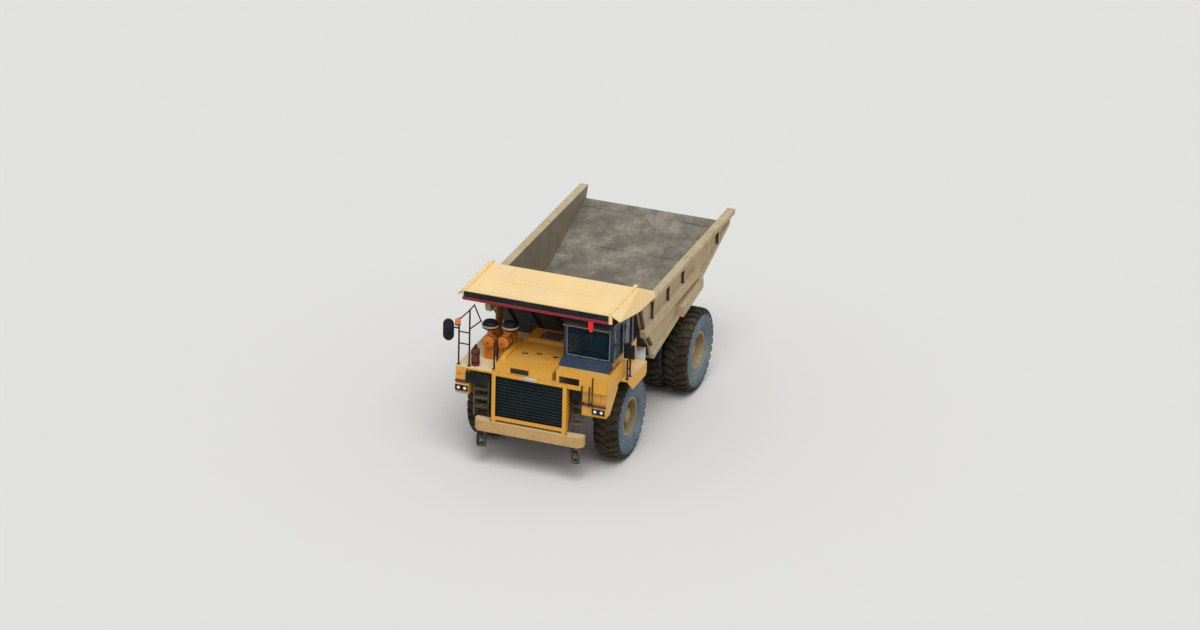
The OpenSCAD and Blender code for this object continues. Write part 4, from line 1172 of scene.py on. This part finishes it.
@dataclass
class FrontEnd:
    """Trim of the grille, hood, fenders, lamps and pod.

    Attributes:
        face_y: Front face of the fenders.
        pod_y: Front face of the pod ahead of the cab.
        plate: Thickness of the blank plates.
    """

    face_y: float = -1.78
    pod_y: float = -1.88
    plate: float = 0.012

    def blank_plates(self) -> None:
        """Builds the two dark plates at the heads of the ladders, blank, on their brackets."""
        solid = Solid("blank_plates")
        y = self.face_y - 0.022
        solid.box((-1.640, y - self.plate, 2.074), (-1.066, y, 2.342), 0.003)
        solid.box((1.030, y - self.plate, 2.150), (1.270, y, 2.380), 0.003)
        for x in (-1.60, -1.13):
            solid.box((x - 0.02, y, 2.30), (x + 0.02, self.face_y + 0.01, 2.40), 0.002)
        solid.box((1.20, y, 2.20), (1.30, self.face_y - 0.001, 2.26), 0.002)
        solid.piece("chassis", TRIM_BLACK, "grille_paint")

    def fascia(self) -> None:
        """Builds the fenders' raised panels, dark red bars, rail and marker lamps."""
        y = self.face_y
        panels = Solid("fascia_panels")
        for x0, x1, z0, z1 in ((1.300, 1.760, 2.135, 2.395), (1.800, 1.885, 2.135, 2.395),
                               (1.300, 1.545, 1.775, 1.985)):
            panels.box((x0, y - 0.012, z0), (x1, y, z1), 0.004)
        panels.piece("chassis", FENDER_PAINT, "fender_paint")
        bars = Solid("red_bars")
        bars.box((1.245, y - 0.05, 2.035), (1.905, y - 0.012, 2.075), 0.006)
        for x in (1.33, 1.60, 1.86):
            bars.box((x - 0.015, y - 0.02, 2.04), (x + 0.015, y, 2.07), 0.002)
        bars.box((-1.905, y - 0.03, 2.045), (-1.565, y, 2.105), 0.006)
        bars.piece("chassis", RED_TRIM, "extinguisher_paint")
        rail = Solid("fascia_rail")
        rail.tube([(1.585, self.pod_y + 0.002, 2.79), (1.585, self.pod_y - 0.022, 2.79),
                   (1.585, self.pod_y - 0.022, 2.055), (1.585, y - 0.030, 2.055)], 0.014, 10, 0.03)
        rail.piece("chassis", TRIM_BLACK, "mirror_plastic")
        markers = Solid("marker_lamps")
        for x0, x1, z in ((-1.875, -1.735, 2.255), (1.735, 1.875, 2.080)):
            markers.box((x0, y - 0.028, z), (x1, y, z + 0.042), 0.012)
        markers.piece("chassis", AMBER_LAMP, "lamp_lens")

    def grille_blades(self) -> None:
        """Builds the thin sloping blades between the grille's slats."""
        blade = Solid("grille_blade")
        z = 1.373 + 0.050
        blade.prism(Direction.X, -0.842, 0.842, [(-1.866, z), (-1.790, z + 0.034), (-1.790, z + 0.039),
                                                 (-1.866, z + 0.005)], 0.0)
        mesh = REPEATER.repeat(Repeat.ROW, blade, 12, (0.0, 0.0, 0.07985), GRILLE_DARK)
        seat(joined("grille_blades", [mesh]), "chassis", GRILLE_DARK)

    def hood_plate(self) -> None:
        """Builds the dark nameplate on the hood's front, blank, with its frame and rivets."""
        plate = Solid("hood_nameplate")
        y = self.pod_y
        plate.box((-0.475, y - 0.010, 2.560), (-0.025, y + 0.001, 2.680), 0.003)
        for x0, x1, z0, z1 in ((-0.475, -0.025, 2.668, 2.680), (-0.475, -0.025, 2.560, 2.572),
                               (-0.475, -0.463, 2.572, 2.668), (-0.037, -0.025, 2.572, 2.668)):
            plate.box((x0, y - 0.016, z0), (x1, y - 0.009, z1), 0.002)
        for x in (-0.450, -0.050):
            for z in (2.585, 2.655):
                plate.rod(Direction.Y, (x, y - 0.015, z), 0.006, 0.006, 12, 0.002)
        plate.piece("chassis", DARK_PLATE, "grille_paint")

    def pod_louvres(self) -> None:
        """Builds the dark louvres in the pod's opening."""
        slat = Solid("pod_slat")
        y, z = self.pod_y, 2.527
        slat.prism(Direction.X, 0.742, 1.242, [(y + 0.012, z), (y + 0.050, z + 0.016), (y + 0.050, z + 0.021),
                                               (y + 0.012, z + 0.005)], 0.0)
        mesh = REPEATER.repeat(Repeat.ROW, slat, 7, (0.0, 0.0, 0.0235), DARK_PLATE)
        seat(joined("pod_louvres", [mesh]), "chassis", DARK_PLATE)

    def lamps(self) -> None:
        """Builds the dark rings and faces round the lamps."""
        solid = Solid("lamp_surrounds")
        front = self.face_y - 0.062
        for side in (-1.0, 1.0):
            for x in (1.640, 1.800):
                ring = [(0.064, -0.012), (0.074, -0.014), (0.078, -0.004), (0.078, 0.006), (0.064, 0.006),
                        (0.064, -0.012)]
                solid.lathe(Direction.Y, (side * x, front, 1.919), ring, 32)
            x0, x1 = outward(side, 1.562, 1.885)
            solid.box((x0, front - 0.004, 1.842), (x1, front, 1.996), 0.003)
        solid.piece("chassis", TRIM_BLACK, "mirror_plastic")

    def hood_trim(self) -> None:
        """Builds the cap on the hood's ridge, the dark rear panel with its louvres, and the latches."""
        ridge = Solid("hood_ridge_cap")
        side = [(-1.615, 2.716), (-1.575, 2.790), (-0.500, 2.822), (-0.460, 2.746)]
        ridge.prism(Direction.X, -0.848, -0.712, side, 0.012)
        ridge.piece("chassis", HOOD_PAINT, "hood_paint")
        dark = Solid("hood_panel")
        dark.box((-0.36, -0.32, 2.829), (0.16, 0.06, 2.842), 0.004)
        for i in range(7):
            y = -0.28 + 0.05 * i
            dark.box((-0.33, y, 2.84), (0.13, y + 0.022, 2.852), 0.002)
        dark.piece("chassis", PANEL_GREY, "grille_paint")
        small = Solid("hood_latches")
        for x, y in ((-0.45, -1.12), (-0.38, -1.10), (-0.12, -1.02), (-0.05, -1.01), (0.30, -1.05),
                     (0.36, -1.04)):
            small.box((x - 0.025, y - 0.018, 2.728), (x + 0.025, y + 0.018, 2.762), 0.004)
        small.piece("chassis", TRIM_BLACK, "mirror_plastic")

    def build(self) -> None:
        """Builds all of the front end's trim."""
        self.blank_plates()
        self.fascia()
        self.grille_blades()
        self.hood_plate()
        self.pod_louvres()
        self.lamps()
        self.hood_trim()


@dataclass
class Cab:
    """Seals, wipers, door trim, seat and dashboard of the cab.

    Attributes:
        inner: Inner side of the cab.
        outer: Outer side of the cab.
        front: Front wall.
        sill: Height of the windscreen's lower edge.
        side_sill: Height of the side panes' lower edge.
        head: Height of the panes' upper edge.
        stand_off: How far a seal stands off its wall.
        seat_x: Middle of the seat and the steering wheel.
        floor: Height of the cab's floor.
        crown: Height of a pad's crown.
        draw: How far a pad's sides are drawn in between its corners, as a share.
        channels: Where the sewn channels lie across a pad, as a share of its half.
        channel: Depth of a sewn channel.
        channel_width: Its width, as a share of the pad's half.
    """

    # Power of the rounded box that a pad is, cuts of its sides, and where its shown face starts.
    SQUARENESS = 8
    CUTS = 23
    SHOWN = 0.7

    inner: float = 0.62
    outer: float = 1.86
    front: float = -1.30
    sill: float = 3.02
    side_sill: float = 2.96
    head: float = 3.80
    stand_off: float = 0.004
    seat_x: float = 1.24
    floor: float = 2.467
    crown: float = 0.022
    draw: float = 0.030
    channels: tuple[float, float] = (-0.34, 0.34)
    channel: float = 0.010
    channel_width: float = 0.05

    def seals(self) -> None:
        """Builds the rubber seals round the fixed panes, whose pale blue-grey is a painted highlight."""
        solid = Solid("window_seals")
        # columns: y, first x, last x, lower edge
        across = ((self.front - self.stand_off, self.inner + 0.09, self.outer - 0.09, self.sill),
                  (0.104, 0.78, 1.70, 3.11))
        # columns: x, first y, last y
        along = ((self.outer + self.stand_off, -1.2, -0.64), (self.inner - self.stand_off, -1.17, -0.1))
        panes = [[(x0, y, low), (x1, y, low), (x1, y, self.head), (x0, y, self.head)]
                 for y, x0, x1, low in across]
        panes[1:1] = [[(x, y0, self.side_sill), (x, y1, self.side_sill), (x, y1, self.head),
                       (x, y0, self.head)] for x, y0, y1 in along]
        for pane in panes:
            solid.loop(pane, 0.014)
        solid.piece("chassis", PALE_DIALS_AND_SEAL_HIGHLIGHT, "cab_trim")

    def wipers(self) -> None:
        """Builds the two windscreen wipers."""
        solid = Solid("wipers")
        y = self.front - 0.03
        for x, lean in ((1.02, 0.16), (1.50, 0.16)):
            solid.rod(Direction.Y, (x, y - 0.01, self.sill - 0.03), 0.022, 0.04, 12)
            solid.tube([(x, y, self.sill - 0.03), (x + lean, y - 0.006, self.sill + 0.36)], 0.008, 6)
            solid.tube([(x + lean - 0.05, y + 0.004, self.sill + 0.10),
                        (x + lean + 0.05, y + 0.004, self.sill + 0.60)], 0.010, 6)
        solid.piece("chassis", TRIM_BLACK, "mirror_plastic")

    def door_trim(self) -> None:
        """Builds the seal round the door's pane, pale blue-grey as a painted highlight, and its two raised
        panels.
        """
        seal = Solid("door_window_seal")
        x, low = self.outer + self.stand_off, self.side_sill
        seal.loop([(x, -0.48, low), (x, -0.02, low), (x, -0.02, 3.73), (x, -0.48, 3.73)], 0.013)
        seal.piece("cab_door", PALE_DIALS_AND_SEAL_HIGHLIGHT, "cab_trim")
        panel = Solid("door_panel")
        panel.box((self.outer - 0.001, -0.47, 2.56), (self.outer + 0.009, -0.10, 2.78), 0.006)
        panel.box((self.outer - 0.001, -0.47, 2.84), (self.outer + 0.009, -0.16, 2.90), 0.006)
        panel.piece("cab_door", DOOR_PAINT, "cab_paint")

    def cushion(self, name: str, centre: Point, half: Point, up: Direction) -> None:
        """Builds a crowned seat pad with two sewn channels.

        Args:
            name: Name of the piece.
            centre: Its middle, y from the front axle.
            half: Half its sizes.
            up: The axis along which it is crowned.
        """
        solid = Solid(name)
        made = bmesh.ops.create_cube(solid.bm, size=2.0)
        edges = list({e for v in made["verts"] for e in v.link_edges})
        bmesh.ops.subdivide_edges(solid.bm, edges=edges, cuts=self.CUTS, use_grid_fill=True)
        axis = up.value
        along, way = (1, 1.0) if up is Direction.Z else (2, -1.0)
        for vert in solid.bm.verts:
            p = vert.co.copy()
            q = p / sum(abs(c) ** self.SQUARENESS for c in p) ** (1 / self.SQUARENESS)
            u, v = q.x, q[along]
            out = Vector((q.x * half[0], q.y * half[1], q.z * half[2]))
            out.x *= 1.0 - self.draw * (1.0 - v * v)
            out[along] *= 1.0 - self.draw * (1.0 - u * u)
            if p[axis] * way > self.SHOWN:
                crown = self.crown * (1.0 - u * u) * (1.0 - v * v)
                sewn = sum(math.exp(-((v - w) / self.channel_width) ** 2) for w in self.channels)
                out[axis] += (crown - self.channel * sewn * (1.0 - u ** self.SQUARENESS)) * way
            vert.co = place(*centre) + out
        for face in solid.bm.faces:
            face.smooth = True
        bmesh.ops.recalc_face_normals(solid.bm, faces=solid.bm.faces[:])
        pad = solid.piece("chassis", SEAT_CLOTH, "cab_trim")

    def interior(self) -> None:
        """Builds the seat's stand, the dashboard and the steering wheel in place of the plain ones."""
        x, z = self.seat_x, self.floor
        stand = Solid("seat_stand")
        rings = [(0.0, 0.0), (0.150, 0.0), (0.150, 0.020), (0.115, 0.030)]
        for i in range(5):
            rings += [(0.118, 0.045 + 0.045 * i), (0.100, 0.0675 + 0.045 * i)]
        rings += [(0.118, 0.270), (0.140, 0.275), (0.140, 0.290), (0.0, 0.290)]
        stand.lathe(Direction.Z, (x, -0.55, z), rings, 40)
        stand.box((x - 0.25, -0.80, z + 0.285), (x + 0.25, -0.30, z + 0.300), 0.004)
        back = [(-0.300, z + 0.285), (-0.255, z + 0.285), (-0.215, z + 1.00), (-0.250, z + 1.00)]
        stand.prism(Direction.X, x - 0.20, x + 0.20, back, 0.006)
        stand.piece("chassis", TRIM_BLACK, "cab_trim", ("cab_interior",))
        dash = Solid("dashboard")
        dash.prism(Direction.X, self.inner + 0.062, self.outer - 0.062, [
            (-1.238, z), (-1.238, z + 0.500), (-1.220, z + 0.520), (-1.100, z + 0.520), (-1.042, z + 0.455),
            (-1.040, z + 0.300), (-1.090, z + 0.260), (-1.090, z)], 0.012)
        dash.prism(Direction.X, x - 0.22, x + 0.22, [
            (-1.215, z + 0.515), (-1.205, z + 0.585), (-1.170, z + 0.595), (-1.080, z + 0.560),
            (-1.075, z + 0.500)], 0.010)
        dash.piece("chassis", CAB_TRIM, "cab_trim")
        dials = Solid("dashboard_dials")
        dial = [(0.0, 0.0), (0.024, 0.0), (0.028, 0.006), (0.031, 0.012), (0.034, 0.012), (0.034, 0.0)]
        for i in range(5):
            dials.lathe(Direction.Y, (x - 0.16 + 0.08 * i, -1.047, z + 0.390), dial, 24)
        dials.piece("chassis", PALE_DIALS_AND_SEAL_HIGHLIGHT, "cab_trim")
        wheel = Solid("steering_wheel")
        hub = (x, -0.97, 3.027)
        turns = [math.pi * k / 5 for k in range(10)]
        rim = [(0.190 + 0.016 * math.cos(turn), 0.016 * math.sin(turn)) for turn in turns]
        boss = [(0.0, -0.030), (0.045, -0.025), (0.050, 0.0), (0.030, 0.018), (0.0, 0.022)]
        wheel.lathe(Direction.Z, hub, rim + [rim[0]], 48)
        wheel.lathe(Direction.Z, hub, boss, 24)
        for k in range(3):
            turn = math.radians(90 + 120 * k)
            tip = (x + 0.182 * math.cos(turn), -0.97 + 0.182 * math.sin(turn), 3.027)
            wheel.tube([(x, -0.97, 3.015), tip], 0.011, 8)
        lean = Matrix.Rotation(math.radians(-28), 3, "X")
        bmesh.ops.rotate(wheel.bm, verts=wheel.bm.verts[:], cent=place(*hub), matrix=lean)
        wheel.tube([(x, -0.985, 3.000), (x, -1.075, 2.830)], 0.026, 12)
        wheel.piece("chassis", TRIM_BLACK, "cab_trim")

    def build(self) -> None:
        """Builds the cab's trim."""
        self.seals()
        self.wipers()
        self.door_trim()
        self.interior()
        self.cushion("seat_cushion", (self.seat_x, -0.56, 2.842), (0.285, 0.290, 0.075), Direction.Z)
        self.cushion("seat_back", (self.seat_x, -0.335, 3.215), (0.265, 0.075, 0.320), Direction.Y)


@dataclass
class Bed:
    """Trim of the dump bed and its canopy.

    Attributes:
        wall_x: Outer face of the side walls.
        top: Height of the top rails.
        under_rail: How far under that the ribs and their welds end.
        ribs: Place of each rib along, where its dark face of painted shade starts and where its welds start.
        canopy_top: Height of the canopy.
        canopy_front: Front edge of the canopy.
    """

    wall_x: float = 1.895
    top: float = 3.74
    under_rail: float = 0.112
    ribs: tuple[Point, ...] = (
        (1.228, 3.092, 3.112), (2.338, 3.12, 3.14), (3.388, 3.15, 3.165), (5.888, 3.20, 3.16))
    canopy_top: float = 4.291
    canopy_front: float = -1.502

    def front_edges(self) -> None:
        """Builds the dark red-brown strips along the bed's front edges."""
        solid = Solid("bed_front_edges")
        line = [(1.146, 2.407), (0.578, 2.985), (0.281, 3.667)]
        for side in (-1.0, 1.0):
            x0, x1 = outward(side, self.wall_x, self.wall_x + 0.055)
            for (y0, z0), (y1, z1) in zip(line, line[1:]):
                strip = [(y0, z0), (y1, z1), (y1 + 0.115, z1), (y0 + 0.115, z0)]
                solid.prism(Direction.X, x0, x1, strip, 0.005)
        solid.piece("bed", EDGE_BROWN_AND_RIB_SHADE, "bed_paint")

    def rib_faces(self) -> None:
        """Builds the dark plates on the ribs' front faces: painted shade for the shadow on faces that turn
        from the light.
        """
        solid = Solid("rib_faces")
        for side in (-1.0, 1.0):
            x0, x1 = outward(side, self.wall_x + 0.001, self.wall_x + 0.074)
            for y, z0, _ in self.ribs:
                solid.box((x0, y - 0.062, z0), (x1, y - 0.050, self.top - self.under_rail), 0.002)
        solid.piece("bed", EDGE_BROWN_AND_RIB_SHADE, "bed_paint")

    def canopy_trim(self) -> None:
        """Builds the canopy's blank banner, dark red stripe and seams, and the red marker under its lip."""
        y = self.canopy_front
        banner = Solid("canopy_banner")
        top = self.canopy_top
        banner.box((-1.80, y - 0.010, top - 0.165), (1.76, y, top - 0.030), 0.003)
        banner.piece("bed", TRIM_BLACK, "canopy_paint")
        stripe = Solid("canopy_stripe")
        stripe.box((-1.86, y - 0.012, top - 0.245), (1.80, y, top - 0.170), 0.003)
        stripe.piece("bed", STRIPE_PAINT, "canopy_paint")
        seams = Solid("canopy_seams")
        z = top + 0.001
        seams.tube([(-1.14, 0.20, z), (-1.14, -0.674, z), (1.18, -0.674, z), (1.18, 0.20, z)], 0.007, 8)
        seams.tube([(-1.70, y + 0.10, z), (1.70, y + 0.10, z)], 0.006, 8)
        seams.piece("bed", CANOPY_PAINT, "canopy_paint")
        marker = Solid("red_marker")
        marker.box((1.30, y - 0.03, 3.86), (1.42, y + 0.05, 4.05), 0.015)
        marker.rod(Direction.Z, (1.36, y + 0.01, 3.79), 0.045, 0.08, 20)
        marker.piece("bed", RED_LAMP, "extinguisher_paint")

    def welds(self) -> None:
        """Builds the weld beads along the rails and the ribs of both side walls."""
        solid = Solid("side_weld_beads")
        for side in (-1.0, 1.0):
            x, top = side * self.wall_x, self.top - self.under_rail
            solid.tube([(x, 0.62, top), (x, 6.70, top)], 0.009, 6)
            solid.tube([(x, 0.52, 3.088), (x, 4.22, 3.178)], 0.009, 6)
            for y, _, z0 in self.ribs:
                for edge in (-0.052, 0.052):
                    solid.tube([(x, y + edge, z0), (x, y + edge, top)], 0.008, 6)
        solid.piece("bed", BED_PAINT, "bed_paint")

    def build(self) -> None:
        """Builds the bed's trim."""
        self.welds()
        self.front_edges()
        self.rib_faces()
        self.canopy_trim()


@dataclass
class Deck:
    """Fittings of the deck: air cleaner bands, extinguisher, beacon and mirrors.

    Attributes:
        deck: Height of the right deck.
        beacon_x: Sideways place of the beacon.
        beacon_y: Its place along.
        mirror_x: Sideways place of the round mirrors.
        mirror_y: Their rear faces.
    """

    deck: float = 2.45
    beacon_x: float = -1.86
    beacon_y: float = -1.7835
    mirror_x: float = -2.127
    mirror_y: float = -1.670

    def air_cleaners(self) -> None:
        """Builds the clamps and cap bands of the two air cleaners."""
        tan_bands = Solid("cleaner_cap_bands")
        clamps = Solid("cleaner_clamps")
        # columns: canister x, canister z, cap x, cap z
        for x, z, cap_x, cap_z in ((-1.301, 2.914, -1.301, 3.326), (-0.940, 2.960, -0.800, 3.376)):
            for y in (-1.20, -0.98, -0.72):
                clamps.band(Direction.Y, (x, y, z), 0.1455, 0.153, 0.034, 0.004, 48)
            clamps.box((x - 0.02, -1.21, z - 0.185), (x + 0.02, -1.15, z - 0.150), 0.004)
            clamps.rod(Direction.Y, (x, -1.292, z), 0.022, 0.02, 6)
            tan_bands.band(Direction.Z, (cap_x, -1.11, cap_z - 0.026), 0.1965, 0.2045, 0.052, 0.004, 64)
        tan_bands.piece("chassis", BED_PAINT, "air_cleaner_paint")
        clamps.piece("chassis", STEP_PAINT, "step_steel")

    def extinguisher(self) -> None:
        """Builds the extinguisher's valve, handle, straps and hose."""
        x, y, z = -1.472, -1.590, self.deck
        straps = Solid("extinguisher_straps")
        for low in (0.08, 0.31):
            straps.band(Direction.Z, (x, y, z + low), 0.0955, 0.101, 0.026, 0.002, 40)
        straps.rod(Direction.Z, (x, y, z + 0.50), 0.028, 0.03, 16)
        straps.box((x - 0.016, y - 0.11, z + 0.505), (x + 0.016, y + 0.03, z + 0.520), 0.003)
        straps.box((x - 0.016, y - 0.10, z + 0.470), (x + 0.016, y - 0.03, z + 0.482), 0.003)
        straps.tube([(x, y - 0.04, z + 0.46), (x - 0.07, y - 0.10, z + 0.42),
                     (x - 0.085, y - 0.105, z + 0.20), (x - 0.03, y - 0.11, z + 0.10)], 0.009, 8)
        straps.piece("chassis", TRIM_BLACK, "mirror_plastic")

    def beacon(self) -> None:
        """Builds the orange lens over the beacon on the right post."""
        x, y = self.beacon_x, self.beacon_y
        lens = Solid("beacon_lens")
        dome = [(0.0605, 0.0), (0.066, 0.004), (0.066, 0.098), (0.058, 0.113), (0.030, 0.121), (0.0, 0.123)]
        lens.lathe(Direction.Z, (x, y, 3.535), dome, 32)
        lens.piece("chassis", AMBER_LAMP, "lamp_lens")
        base = Solid("beacon_base")
        base.lathe(Direction.Z, (x, y, 3.505), [(0.0, 0.0), (0.070, 0.0), (0.070, 0.028), (0.0, 0.028)], 32)
        base.tube([(x, y, 3.51), (x, -1.70, 3.51)], 0.018, 8)
        base.piece("chassis", TRIM_BLACK, "mirror_plastic")

    def mirrors(self) -> None:
        """Builds the mirrors' glass, on their rear faces."""
        glass = Solid("mirror_glass")
        glass.box((2.020, -0.880, 3.020), (2.237, -0.876, 3.318), 0.002)
        disc = [(0.0, 0.0), (0.112, 0.0), (0.112, 0.004), (0.0, 0.005)]
        for z in (3.441, 3.157):
            glass.lathe(Direction.Y, (self.mirror_x, self.mirror_y, z), disc, 40)
        glass.piece("chassis", MIRROR_FACE, "mirror_plastic")

    def build(self) -> None:
        """Builds all of the deck's fittings."""
        self.air_cleaners()
        self.extinguisher()
        self.beacon()
        self.mirrors()


@dataclass
class Steps:
    """Worn treads of the ladders and the feet of the handrails.

    Attributes:
        upper: Heights of the upper ladders' treads.
        lower: Heights of the lower steps.
        strips: Grip strips on a tread.
        pitch: Distance between the strips.
        strip: Width of a strip.
        bolt_circle: Radius on which the bolts of a foot stand.
    """

    upper: tuple[float, ...] = (1.43, 1.665, 1.90, 2.136)
    lower: tuple[float, ...] = (0.54, 0.74)
    strips: int = 5
    pitch: float = 0.036
    strip: float = 0.016
    bolt_circle: float = 0.037

    def treads(self) -> None:
        """Builds the grip strips on the treads of all ladders."""
        solid = Solid("tread_grips")
        # columns: left x, right x, front y, heights of the treads
        ladders = [(-1.437, -1.112, -1.72, self.upper), (1.050, 1.244, -1.72, self.upper),
                   (1.120, 1.260, -1.92, self.lower), (-1.260, -1.120, -1.92, self.lower)]
        for x0, x1, y, heights in ladders:
            for z in heights:
                for k in range(self.strips):
                    front = y + 0.01 + self.pitch * k
                    back = front + self.strip
                    solid.box((x0 + 0.01, front, z + 0.020), (x1 - 0.01, back, z + 0.026), 0.001)
        solid.piece("chassis", WORN_STEEL, "step_steel")

    def feet(self) -> None:
        """Builds the foot plates of the handrails' posts and their bolts."""
        solid = Solid("handrail_feet")
        posts = [(-1.86, -1.70, 2.45), (-1.592, -1.70, 2.45), (-0.979, -1.656, 2.45), (-0.965, -1.497, 2.45),
                 (2.06, -0.84, 2.407), (2.06, -0.65, 2.407)]
        for x, y, z in posts:
            plate = [(0.0205, 0.0), (0.050, 0.0), (0.050, 0.010), (0.0205, 0.012), (0.0205, 0.0)]
            solid.lathe(Direction.Z, (x, y, z), plate, 24)
            for a in range(4):
                turn = math.radians(45 + 90 * a)
                reach = self.bolt_circle
                spot = (x + reach * math.cos(turn), y + reach * math.sin(turn), z + 0.009)
                solid.rod(Direction.Z, spot, 0.007, 0.008, 6, 0.001)
        solid.piece("chassis", STEP_PAINT, "step_steel")

    def build(self) -> None:
        """Builds the ladders' and handrails' small parts."""
        self.treads()
        self.feet()


@dataclass
class Chassis:
    """Hydraulic pipes, tank caps, the pale box's latches and the bumper's bolts.

    Attributes:
        box_x: Outer face of the pale box.
        bolt_x: Sideways place of a bolt row's first bolt.
        bolt_y: Front of the bolts' heads.
        bolts: Bolts in a row.
        bolt_step: Distance between them.
    """

    box_x: float = 1.889
    bolt_x: float = -1.20
    bolt_y: float = -1.953
    bolts: int = 9
    bolt_step: float = 0.30

    def hoses(self) -> None:
        """Builds the hydraulic pipes from the round tank to the hoists' lower pins."""
        solid = Solid("hydraulic_pipes")
        for i, z in enumerate((1.30, 1.22)):
            low = 1.06 - 0.02 * i
            solid.tube([(0.70, 2.35, z), (0.70, 2.48, z), (0.665, 2.56, z - 0.04), (0.665, 2.70, low)],
                       0.018, 8)
        solid.piece("chassis", TRIM_BLACK, "chassis_paint")

    def tank_caps(self) -> None:
        """Builds the filler caps of the two tanks, a sight gauge and two plugs."""
        solid = Solid("tank_caps")
        for x, y, z, r in ((-1.05, 1.70, 1.45, 0.062), (0.91, 1.90, 1.50, 0.052)):
            cap = [(0.0, 0.0), (r, 0.0), (r, 0.020), (r - 0.010, 0.026), (0.0, 0.026)]
            solid.lathe(Direction.Z, (x, y, z), cap, 32)
            solid.box((x - r * 0.8, y - 0.010, z + 0.024), (x + r * 0.8, y + 0.010, z + 0.042), 0.005)
        solid.box((1.148, 2.245, 1.10), (1.172, 2.285, 1.32), 0.006)
        for y in (1.70, 2.10):
            solid.rod(Direction.X, (-1.262, y, 0.90), 0.020, 0.016, 6)
        solid.piece("chassis", TRIM_BLACK, "chassis_paint")

    def side_box_lid(self) -> None:
        """Builds the lip and the two latches of the pale box behind the cab."""
        lip = Solid("side_box_lip")
        x = self.box_x
        lip.box((x, 0.334, 2.425), (x + 0.013, 0.886, 2.440), 0.003)
        for y in (0.45, 0.77):
            lip.box((x + 0.004, y - 0.025, 2.385), (x + 0.019, y + 0.025, 2.455), 0.004)
        lip.piece("chassis", BOX_PAINT, "box_paint")

    def bumper_bolts(self) -> None:
        """Builds the bolts of the bumper's face."""
        meshes = []
        for z in (0.99, 1.16):
            bolt = Solid("bumper_bolt")
            bolt.rod(Direction.Y, (self.bolt_x, self.bolt_y, z), 0.016, 0.013, 6, 0.002)
            step = (self.bolt_step, 0.0, 0.0)
            meshes.append(REPEATER.repeat(Repeat.ROW, bolt, self.bolts, step, BUMPER_PAINT))
        seat(joined("bumper_bolt_rows", meshes), "chassis", BUMPER_PAINT)

    def build(self) -> None:
        """Builds the chassis' small parts."""
        self.hoses()
        self.tank_caps()
        self.side_box_lid()
        self.bumper_bolts()


@dataclass
class Studio:
    """The plain floor, the soft light and the camera at the photograph's angle.

    Attributes:
        azimuth: Degrees that the camera stands to the truck's left of straight ahead.
        elevation: Degrees that it looks down.
        roll: Degrees that it is rolled.
        stand: Its place, y from the front axle.
        sensor: Width of its sensor in millimetres.
        lens: Focal length in millimetres.
        sight: How far it sees in metres.
        floor_size: Side of the floor in metres.
        sun_strength: Strength of the soft sun.
        sun_spread: Degrees that the sun spans, which softens its shadows.
        sun_aim: Direction that the sun shines in.
        sky_strength: Strength of the sky.
    """

    azimuth: float = 19.842
    elevation: float = 24.305
    roll: float = 1.548
    stand: Point = (39.665, -107.044, 54.932)
    sensor: float = 36.0
    lens: float = 5289.75 * 36 / 1200
    sight: float = 1000.0
    floor_size: float = 400.0
    sun_strength: float = 1.9
    sun_spread: float = 40.0
    sun_aim: Point = (-0.25, 0.45, -1.0)
    sky_strength: float = 0.62

    def floor(self) -> None:
        """Builds the pale floor."""
        mesh = bpy.data.meshes.new("floor")
        half = self.floor_size / 2
        corners = [(-half, -half, 0), (half, -half, 0), (half, half, 0), (-half, half, 0)]
        mesh.from_pydata(corners, [], [(0, 1, 2, 3)])
        floor = bpy.data.objects.new("floor", mesh)
        bpy.context.collection.objects.link(floor)
        pale = Surface("floor_pale", {"Base Color": linear((0.86, 0.85, 0.83)), "Roughness": 0.95})
        mesh.materials.append(pale.material)

    def light(self) -> None:
        """Adds the soft sun and the even sky."""
        sun = bpy.data.lights.new("soft_sun", "SUN")
        sun.energy = self.sun_strength
        sun.angle = math.radians(self.sun_spread)
        lamp = bpy.data.objects.new("soft_sun", sun)
        lamp.rotation_euler = Vector(self.sun_aim).to_track_quat("-Z", "Y").to_euler()
        bpy.context.collection.objects.link(lamp)
        world = bpy.data.worlds.new("sky")
        world.use_nodes = True
        sky = world.node_tree.nodes["Background"]
        sky.inputs["Color"].default_value = linear((0.93, 0.95, 0.98))
        sky.inputs["Strength"].default_value = self.sky_strength
        bpy.context.scene.world = world

    def camera(self) -> None:
        """Adds the camera at the photograph's place."""
        data = bpy.data.cameras.new("camera")
        data.sensor_width = self.sensor
        data.lens = self.lens
        data.clip_end = self.sight
        camera = bpy.data.objects.new("camera", data)
        bpy.context.collection.objects.link(camera)
        camera.matrix_world = self.pose()
        bpy.context.scene.camera = camera

    def pose(self) -> Matrix:
        """Gives the camera's place and turn."""
        az, el = math.radians(self.azimuth), math.radians(self.elevation)
        back = Vector((math.sin(az) * math.cos(el), -math.cos(az) * math.cos(el), math.sin(el)))
        turn = back.to_track_quat("Z", "Y").to_matrix().to_4x4()
        turn = turn @ Matrix.Rotation(math.radians(self.roll), 4, "Z")
        return Matrix.Translation(place(*self.stand)) @ turn


def dress_nodes(frame: dict) -> None:
    """Gives every CAD node its finish.
    """
    for name, node in frame["nodes"].items():
        finish = NODE_FINISHES[name]
        mesh = node.data
        mesh.materials.clear()
        mesh.materials.append(finish.material)
        LOG.info("%s: %s", name, finish.name)


def main() -> None:
    """Builds the dressed truck and its studio."""
    logging.basicConfig(level=logging.INFO, format="%(name)s: %(message)s")
    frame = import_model()
    dress_nodes(frame)
    for assembly in (Tyres(), Wheels(), FrontEnd(), Cab(), Bed(), Deck(), Steps(), Chassis()):
        assembly.build()
    studio = Studio()
    studio.floor()
    studio.light()
    studio.camera()
    bpy.context.scene.view_settings.view_transform = "Standard"


if __name__ == "__main__":
    main()
